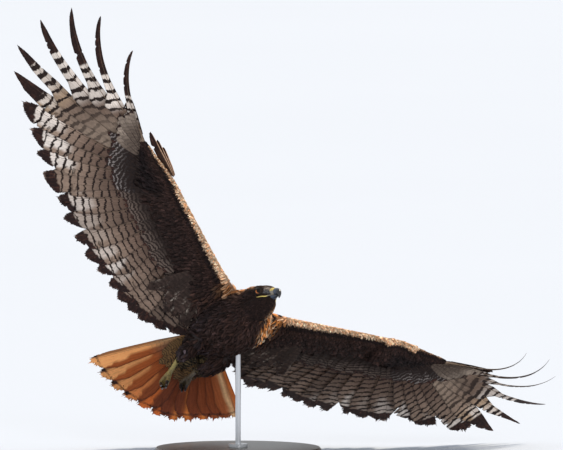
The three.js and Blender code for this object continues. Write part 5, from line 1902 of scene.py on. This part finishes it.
def undertail_look(u):
    """Olive feathers with dark bars, darker towards the left of the fan."""

    def paint(t, a, length, below, covered, rng):
        luck = rng.uniform(0.75, 1.15)
        ground = blend(linear(134, 102, 66), linear(82, 62, 42), float(ramp(u, -0.1, 0.3)))
        return alike(ground * luck, t), alike([5.2 / GAP_SCALE, 0.4, 0.8], t), np.zeros(len(t))

    look = {"paint": paint, "quill": (linear(120, 98, 66), linear(80, 62, 40)), "shaft": 0.8}
    return {**look, "fray": 1.0, "splits": 2, "lean": 0.0, "barb": 2.2, "edge_shade": 0.3}


rng = np.random.default_rng(41)
sheaf = Sheaf()
for row, (q, length) in enumerate(((58, 66), (40, 64), (22, 60))):
    for k in range(9):
        u = (k - 4) / 4 * (1 if row % 2 else 0.92)
        angle = math.radians(u * 36)
        c, s = math.cos(angle), math.sin(angle)
        shorter = 1 - 0.1 * abs(u) - 0.25 * float(ramp(u, 0, 0.6))
        shorter *= 1 - 0.14 * float(ramp(-u, 0.2, 0.7))
        f = {
            "root": on_tail(q - 16 * abs(u), u * 27, -6.5 - 1.6 * row - 0.35 * abs(u * 4)),
            "along": TAIL_TURN @ np.array([-c, s, -0.03]),
            "lead": TAIL_TURN @ np.array([s, c, 0]) * (-1 if u < 0 else 1),
            "up": TAIL_TURN[:, 2],
            "length": length * rng.uniform(0.88, 1.0) * shorter,
            **STRAIGHT,
        }
        feather(sheaf, f, UNDERTAIL, undertail_look(u), rng, row * 9 + k, 27)
sheaf.build("undertail_coverts", vane_finish, "dark_coat")

# %% [markdown]
# ## Eyes and lids
# The eye is a large ball deep in its socket; only the part between the lids shows. It is a sphere
# primitive with its cornea drawn out a little. The lids are one ring of thin skin: a torus primitive
# whose cross-section is laid out as inner edge, crest and outer skirt round an almond opening. The
# iris is nearly black brown, set off from the pupil by the distance from the line of sight; the
# orange at its lower back edge is painted light, the light that falls through the cornea. The small
# highlight comes from eye_light.

# %% Eyeballs
SIGHT = unit(np.array([0.46, 0.86, -0.22]))


def eye_axes(side):
    """Line of sight, forward and upward directions of one eye, on the bird."""
    look = HEAD_TURN @ mirrored(SIGHT, side)
    forward = unit(HEAD_FRONT - look * np.dot(HEAD_FRONT, look))
    upward = unit(np.cross(look, forward) * side * -1)
    if np.dot(upward, HEAD_UP) < 0:
        upward = -upward
    return look, forward, upward


def eye_finish(name, side):
    """Pupil and iris round the line of sight, under a thin wet coat."""
    look = turned(eye_axes(side)[0])
    below = turned(HEAD_TURN @ np.array([-0.64, side * 0.27, -0.72]))
    glow = unit(below - look * np.dot(below, look))
    centre = placed(on_head(mirrored(EYE_AT, side)))

    def paint(w):
        depth = w.along(look, centre) * 1000
        fibre = w.noise(w.place(), 900, 3)
        # Painted light: the lower back edge of the iris is painted orange, as the light that falls
        # through the cornea.
        lit = (w.along(glow, centre) * 1000 + fibre).step(2.2, 4.3)
        iris = lit.mix((0.032, 0.014, 0.008), (0.66, 0.2, 0.05))
        iris = (depth + fibre * 0.3).step(9.1, 8.6).mix(iris, (0.02, 0.01, 0.006))
        pupil = (depth + fibre * 0.25 - 0.1).step(10.1, 9.95)
        return {"Base Color": pupil.mix((0.002, 0.0015, 0.0015), iris)}

    wet = {"Coat_Weight": 0.12, "Coat_Roughness": 0.02}
    return finish(name, paint, Roughness=0.08, Specular_IOR_Level=0.12, **wet)


for side, tag in ((-1, "R"), (1, "L")):
    centre = on_head(mirrored(EYE_AT, side))
    look, forward, upward = eye_axes(side)
    axes = np.stack([forward, upward, look], axis=1)
    eye = ball(f"eyeball_{tag}", centre, (EYE_RADIUS,) * 3, axes, 64, 40)
    for v in eye.data.vertices:
        p = on_bird(np.array(v.co)) - centre
        high = np.dot(p, look) / EYE_RADIUS
        v.co = placed(centre + p * (1 + 0.05 * float(ramp(high, 0.86, 0.98))))
    softened(eye, 180)
    eye.data.materials.append(eye_finish(f"eye_gloss_{tag}", side))
    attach(eye, "root")
    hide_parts(f"eye_{tag}")
    print(eye.name, "looks along", np.round(turned(look), 2))

# %% Lids
LID = [(-1.5, 10.3), (0.2, 10.7), (1.6, 11.1), (4, 11.3), (9, 11.1), (20, 10.2), (21, 8.6)]
LID += [(8, 9.2)]
RING = {"major_segments": 64, "minor_segments": len(LID), "major_radius": 1, "minor_radius": 0.3}


def lid_paint(w):
    fine = w.noise(w.place(), 700, 3)
    colour = fine.mix((0.012, 0.01, 0.009), (0.045, 0.037, 0.031))
    return {"Base Color": colour, "Normal": w.bump(fine, 0.4, 0.0003)}


lid_finish = finish("lid_skin", lid_paint, Roughness=0.7, Specular_IOR_Level=0.1)
for side, tag in ((-1, "R"), (1, "L")):
    centre = on_head(mirrored(EYE_AT, side))
    look, forward, upward = eye_axes(side)
    bpy.ops.object.select_all(action="DESELECT")
    bpy.ops.mesh.primitive_torus_add(**RING)
    lid = bpy.context.object
    lid.name = f"lids_{tag}"
    for v in lid.data.vertices:
        round_eye = math.atan2(v.co.y, v.co.x)
        out = math.hypot(v.co.x, v.co.y) - 1
        part = round(math.atan2(v.co.z, out) / (2 * math.pi) * len(LID)) % len(LID)
        more, radius = LID[part]
        c, s = math.cos(round_eye), math.sin(round_eye)
        open_v = 20 if s > 0 else 25
        opening = 1 / math.sqrt((c / 42) ** 2 + (s / open_v) ** 2) + 2.5 * abs(c) ** 6
        angle = math.radians(opening + more)
        d = look * math.cos(angle) + (forward * c + upward * s) * math.sin(angle)
        v.co = placed(centre + d * radius)
    bpy.ops.object.mode_set(mode="EDIT")
    bpy.ops.mesh.select_all(action="SELECT")
    bpy.ops.mesh.normals_make_consistent(inside=False)
    bpy.ops.object.mode_set(mode="OBJECT")
    applied(lid, "SUBSURF", levels=1, render_levels=1)
    softened(lid, 180)
    lid.data.materials.append(lid_finish)
    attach(lid, "root")
print("eyes and lids on both sides")

# %% [markdown]
# ## Bill, cere and gape
# The upper half of the bill hooks down over the lower one; both are horn, blue grey at the base
# and black at the tip. Behind them lies the yellow cere with the nostrils, and a yellow fold
# runs back from the mouth's corner under the eye. All are lofts; the nostrils are cut.

# %% Bill
MOUTH_Z = -10.0
HOOK = stations(
    "x z tilt top bottom w",
    (26.2, -2.5, 0, 7.2, 7.2, 7.5),
    (31, -3.1, 12, 6.8, 6.8, 6.5),
    (35, -5.5, 38, 5.5, 5.5, 4.9),
    (37.6, -9.8, 66, 3.9, 3.9, 3.3),
    (38.2, -14, 88, 2.3, 2.3, 1.9),
    (37.6, -17.6, 100, 0.7, 0.7, 0.6),
)
LOWER = stations(
    "x z tilt top bottom w",
    (19.5, -11, 0, 3, 3.6, 6.8),
    (27, -11, 0, 3, 3.0, 5.0),
    (33.2, -10.9, 0, 2, 1.7, 2.4),
)


def head_rings(coarse, count, points, limit):
    """Rings of a form on the face, cut off at the mouth's line by the limit."""
    made = []
    for s in spread(coarse, count):
        t = math.radians(s["tilt"])
        rise = HEAD_TURN @ np.array([math.sin(t), 0, math.cos(t)])
        size = s["w"], s["top"], s["bottom"]
        h = from_head(oval(on_head([s["x"], 0, s["z"]]), HEAD_SIDE, rise, *size, 1.9, points))
        h[:, 2] = limit(h)
        made.append(placed(on_head(h)))
    return made


def upper_limit(h):
    """Keeps the upper half above the mouth, but for the hook."""
    free = ramp(h[:, 0], 33.2, 35.2) * 30
    edge = MOUTH_Z + 0.15 + 0.5 * np.sin((h[:, 0] - 24) * 0.55)
    return np.maximum(h[:, 2], edge - free)


def lower_limit(h):
    """Keeps the lower half below the mouth."""
    return np.minimum(h[:, 2], MOUTH_Z - 0.1 + 0.3 * np.sin((h[:, 0] - 24) * 0.55))


# %% Horn and the two halves
bill_front, bill_base = turned(HEAD_FRONT), placed(on_head([27, 0, -6]))
bill_down = turned(-HEAD_UP)


def horn_paint(w):
    far = w.along(bill_front, bill_base) * 70 + w.along(bill_down, bill_base) * 45
    grain = w.noise(w.place(), 420, 3)
    colour = (far + grain * 0.35).step(0.1, 0.95)
    colour = colour.mix((0.055, 0.072, 0.105), (0.008, 0.008, 0.01))
    bump = w.bump(grain, 0.15, 0.0003)
    return {"Base Color": colour, "Roughness": grain * 0.2 + 0.2, "Normal": bump}


horn_finish = finish("bill_horn", horn_paint, Coat_Weight=0.3, Coat_Roughness=0.15)
upper = loft("upper_bill", head_rings(HOOK, 26, 32, upper_limit))
lower = loft("lower_bill", head_rings(LOWER, 12, 28, lower_limit))
for piece, node in ((upper, "bill_upper"), (lower, "bill_lower")):
    applied(piece, "SUBSURF", levels=1, render_levels=1)
    softened(piece, 50)
    piece.data.materials.append(horn_finish)
    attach(piece, "root")
    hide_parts(node)
    print(piece.name, len(piece.data.polygons), "faces")

# %% Cere, nostrils and gape
CERE = stations(
    "x z tilt top bottom w",
    (18.6, -1.6, 0, 7.4, 9, 9.4),
    (22, -1.9, 0, 8.1, 9, 9.3),
    (25, -2.3, 0, 8, 9, 8.7),
    (27.4, -2.5, 0, 7.4, 9, 7.9),
)
NOSTRIL = (1.9, 2.4, 1.25)
cere = loft("cere_skin", head_rings(CERE, 14, 36, upper_limit))
for side in (-1, 1):
    hole = ball("hole", on_head([24.6, side * 8.6, -1.2]), NOSTRIL, HEAD_TURN, 20, 14)
    applied(cere, "BOOLEAN", operation="DIFFERENCE", solver="EXACT", object=hole)
    bpy.data.objects.remove(hole)
GAPE = [(25.5, 6.4, -10.2), (19.0, 9.6, -10.9), (13.7, 12.2, -12.9), (7, 15.6, -14.0)]
GAPE += [(-1.5, 18.4, -13.6)]
folds = []
for side, proud in ((-1, 1.0), (1, 0.3)):
    path = [on_head([x, side * y, z]) for x, y, z in GAPE]
    on_skin, facing = nearest_on_skin(path[1:])
    path[1:] = list(on_skin + facing * proud)
    folds.append(limb("fold", path, [0.5, 0.8, 1.0, 0.9, 0.4], 12, 30))


def cere_paint(w):
    fine = w.noise(w.place(), 500, 3)
    broad = w.noise(w.place(), 90, 2)
    colour = (broad * 0.7 + fine * 0.3).mix((0.56, 0.4, 0.07), (0.86, 0.68, 0.2))
    ahead = (w.along(bill_front, bill_base) * 1000 + fine * 2).step(-11.0, -7.0)
    low = ahead * (w.along(bill_down, bill_base) * 1000 + broad * 3).step(-3.4, -0.4)
    colour = low.mix(colour, (0.24, 0.21, 0.17))
    return {"Base Color": colour, "Normal": w.bump(fine, 0.25, 0.0003)}


cere_finish = finish("cere_wax", cere_paint, Roughness=0.42)
cere = joined("cere_skin", [cere, *folds])
softened(cere, 50)
cere.data.materials.append(cere_finish)
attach(cere, "root")
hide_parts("cere")
print("bill, cere and gape made,", len(cere.data.polygons), "faces in the cere")

# %% [markdown]
# ## Legs and feet
# Below the feathered thigh the leg is bare and covered with scutes, drawn up against the tail
# with the toes curled. Tarsus, ankle and toes are limbs with low ridges where the scutes
# overlap, melted into one skin; the claws stay separate, smooth and nearly black.

# %% Skin of the legs and horn of the claws
ANKLE = (-118, 20.5, -46.5)
FEET = {"R": (-170, -3.4, -46), "L": (-162, 33, -35)}
TOES = [(-5.5, 30, 13, 3.3), (0, 36, 15, 3.5), (5.5, 30, 13, 3.3), (2, 6, 15, 3.4)]


def leg_paint_of(tag):
    """Scutes and skin of one leg; the far one lies in the shade of the thigh."""
    base = placed(np.array(FEET[tag], float))
    # Painted shade: the left leg's colours are much darker, for the shade of the thigh over it.
    bright = (0.5, 0.4, 0.11) if tag == "R" else (0.14, 0.1, 0.045)
    dim = (0.2, 0.13, 0.05) if tag == "R" else (0.06, 0.042, 0.022)

    def leg_paint(w):
        cell_settings = {"feature": "DISTANCE_TO_EDGE"}
        cells = w.node("ShaderNodeTexVoronoi", cell_settings, {"Vector": w.place(), "Scale": 620.0})
        fine = w.noise(w.place(), 120, 3)
        line = cells.step(0.0, 0.12)
        foot = (w.along((0, 0, -1), base) * 1000 + fine * 20).step(-8, 22)
        colour = (fine * 0.8 + foot * 0.6 - 0.2).mix(bright, dim)
        colour = (line * 0.45 + 0.55).shade(colour)
        return {"Base Color": colour, "Normal": w.bump(line, 0.6, 0.0005)}

    return leg_paint


def claw_paint(w):
    grain = w.noise(w.place(), 300, 3)
    colour = grain.mix((0.009, 0.008, 0.009), (0.03, 0.026, 0.026))
    return {"Base Color": colour, "Roughness": grain * 0.3 + 0.25}


claw_finish = finish("claw_horn", claw_paint, Coat_Weight=0.15, Coat_Roughness=0.25)


def scutes(number, depth):
    """Low ridges along a limb, by share of its length."""
    return lambda s: depth * abs(math.sin(math.pi * number * s))


# %% Tarsi, toes and claws
for side, tag in ((-1, "R"), (1, "L")):
    ankle = mirrored(ANKLE, side)
    foot = np.array(FEET[tag], float)
    axis = unit(foot - ankle)
    down = unit(np.array([0, 0, -1.0]) + axis * axis[2])
    across = unit(np.cross(down, axis))
    frame = np.stack([axis, across, down])
    shin = [ankle - axis * 7, blend(ankle, foot, 0.5), foot]
    bare = [limb("tarsus", shin, [4.7, 3.9, 4.5], 24, 60, scutes(13, 0.09))]
    bare.append(ball("sole", foot + down, (5.6, 5.4, 5.0), np.eye(3), 24, 16))
    claws = []
    for aside, reach, curl, r in TOES:
        knuckles = [
            [0, aside * 0.35, 1],
            [reach * 0.55, aside * 0.8, 3],
            [reach * 0.95, aside, curl * 0.45],
            [reach * 0.8, aside * 0.9, curl],
        ]
        path = foot + np.array(knuckles) @ frame
        bare.append(limb("toe", path, [r, r, r * 0.95, r * 0.8], 18, 36, scutes(7, 0.13)))
        run = unit(path[3] - path[2])
        inward = axis * (-1 if reach > 0 else 1)
        start = path[3] - run * 2.2
        claw = [start, start + run * 6.5, start + run * 12 + inward * 3.7]
        claw.append(start + run * 15.5 + inward * 9.2)
        claws.append(limb("claw", claw, [3.0, 2.7, 1.7, 0.5], 16, 20))
    leg = joined(f"leg_{tag}_skin", bare)
    applied(leg, "REMESH", mode="VOXEL", voxel_size=0.0007)
    applied(leg, "SMOOTH", factor=0.5, iterations=2)
    softened(leg, 80)
    leg.data.materials.append(finish(f"leg_scutes_{tag}", leg_paint_of(tag), Roughness=0.5))
    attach(leg, "root")
    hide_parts(f"tarsus_{tag}", f"foot_{tag}")
    talons = joined(f"talons_{tag}", claws)
    softened(talons, 60)
    talons.data.materials.append(claw_finish)
    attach(talons, "root")
    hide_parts(*[f"claw_{tag}_{k}" for k in (1, 2, 3, 4)])
    print("leg", tag, len(leg.data.polygons), "faces")

# %% [markdown]
# ## The stand
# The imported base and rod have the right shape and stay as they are. The base is dark stained
# wood: rings of the tree seen from above are a noise drawn out along one direction. The rod is
# brushed steel, with fine streaks round it.

# %% Stand finishes
def wood_paint(w):
    place = w.node("ShaderNodeMapping", None, {0: w.place(), 3: (3.0, 26.0, 8.0)})
    grain = w.noise(place, 6.0, 6)
    fine = w.noise(place, 40.0, 4)
    colour = (grain * 0.8 + fine * 0.35).step(0.35, 0.85)
    colour = colour.mix((0.022, 0.013, 0.009), (0.075, 0.045, 0.028))
    bump = w.bump(fine, 0.1, 0.0004)
    return {"Base Color": colour, "Roughness": fine * 0.2 + 0.3, "Normal": bump}


def steel_paint(w):
    place = w.node("ShaderNodeMapping", None, {0: w.place(), 3: (1.0, 1.0, 60.0)})
    streak = w.noise(place, 30.0, 5)
    colour = streak.mix((0.5, 0.51, 0.53), (0.68, 0.69, 0.71))
    return {"Base Color": colour, "Roughness": streak * 0.25 + 0.2}


wood_finish = finish("stained_wood", wood_paint, Coat_Weight=0.25, Coat_Roughness=0.3)
steel_finish = finish("brushed_steel", steel_paint, Metallic=1.0)
for node, material in (("stand_base", wood_finish), ("stand_rod", steel_finish)):
    for slot in bpy.data.objects[node].material_slots:
        slot.material = material
    print(node, "has its finish")
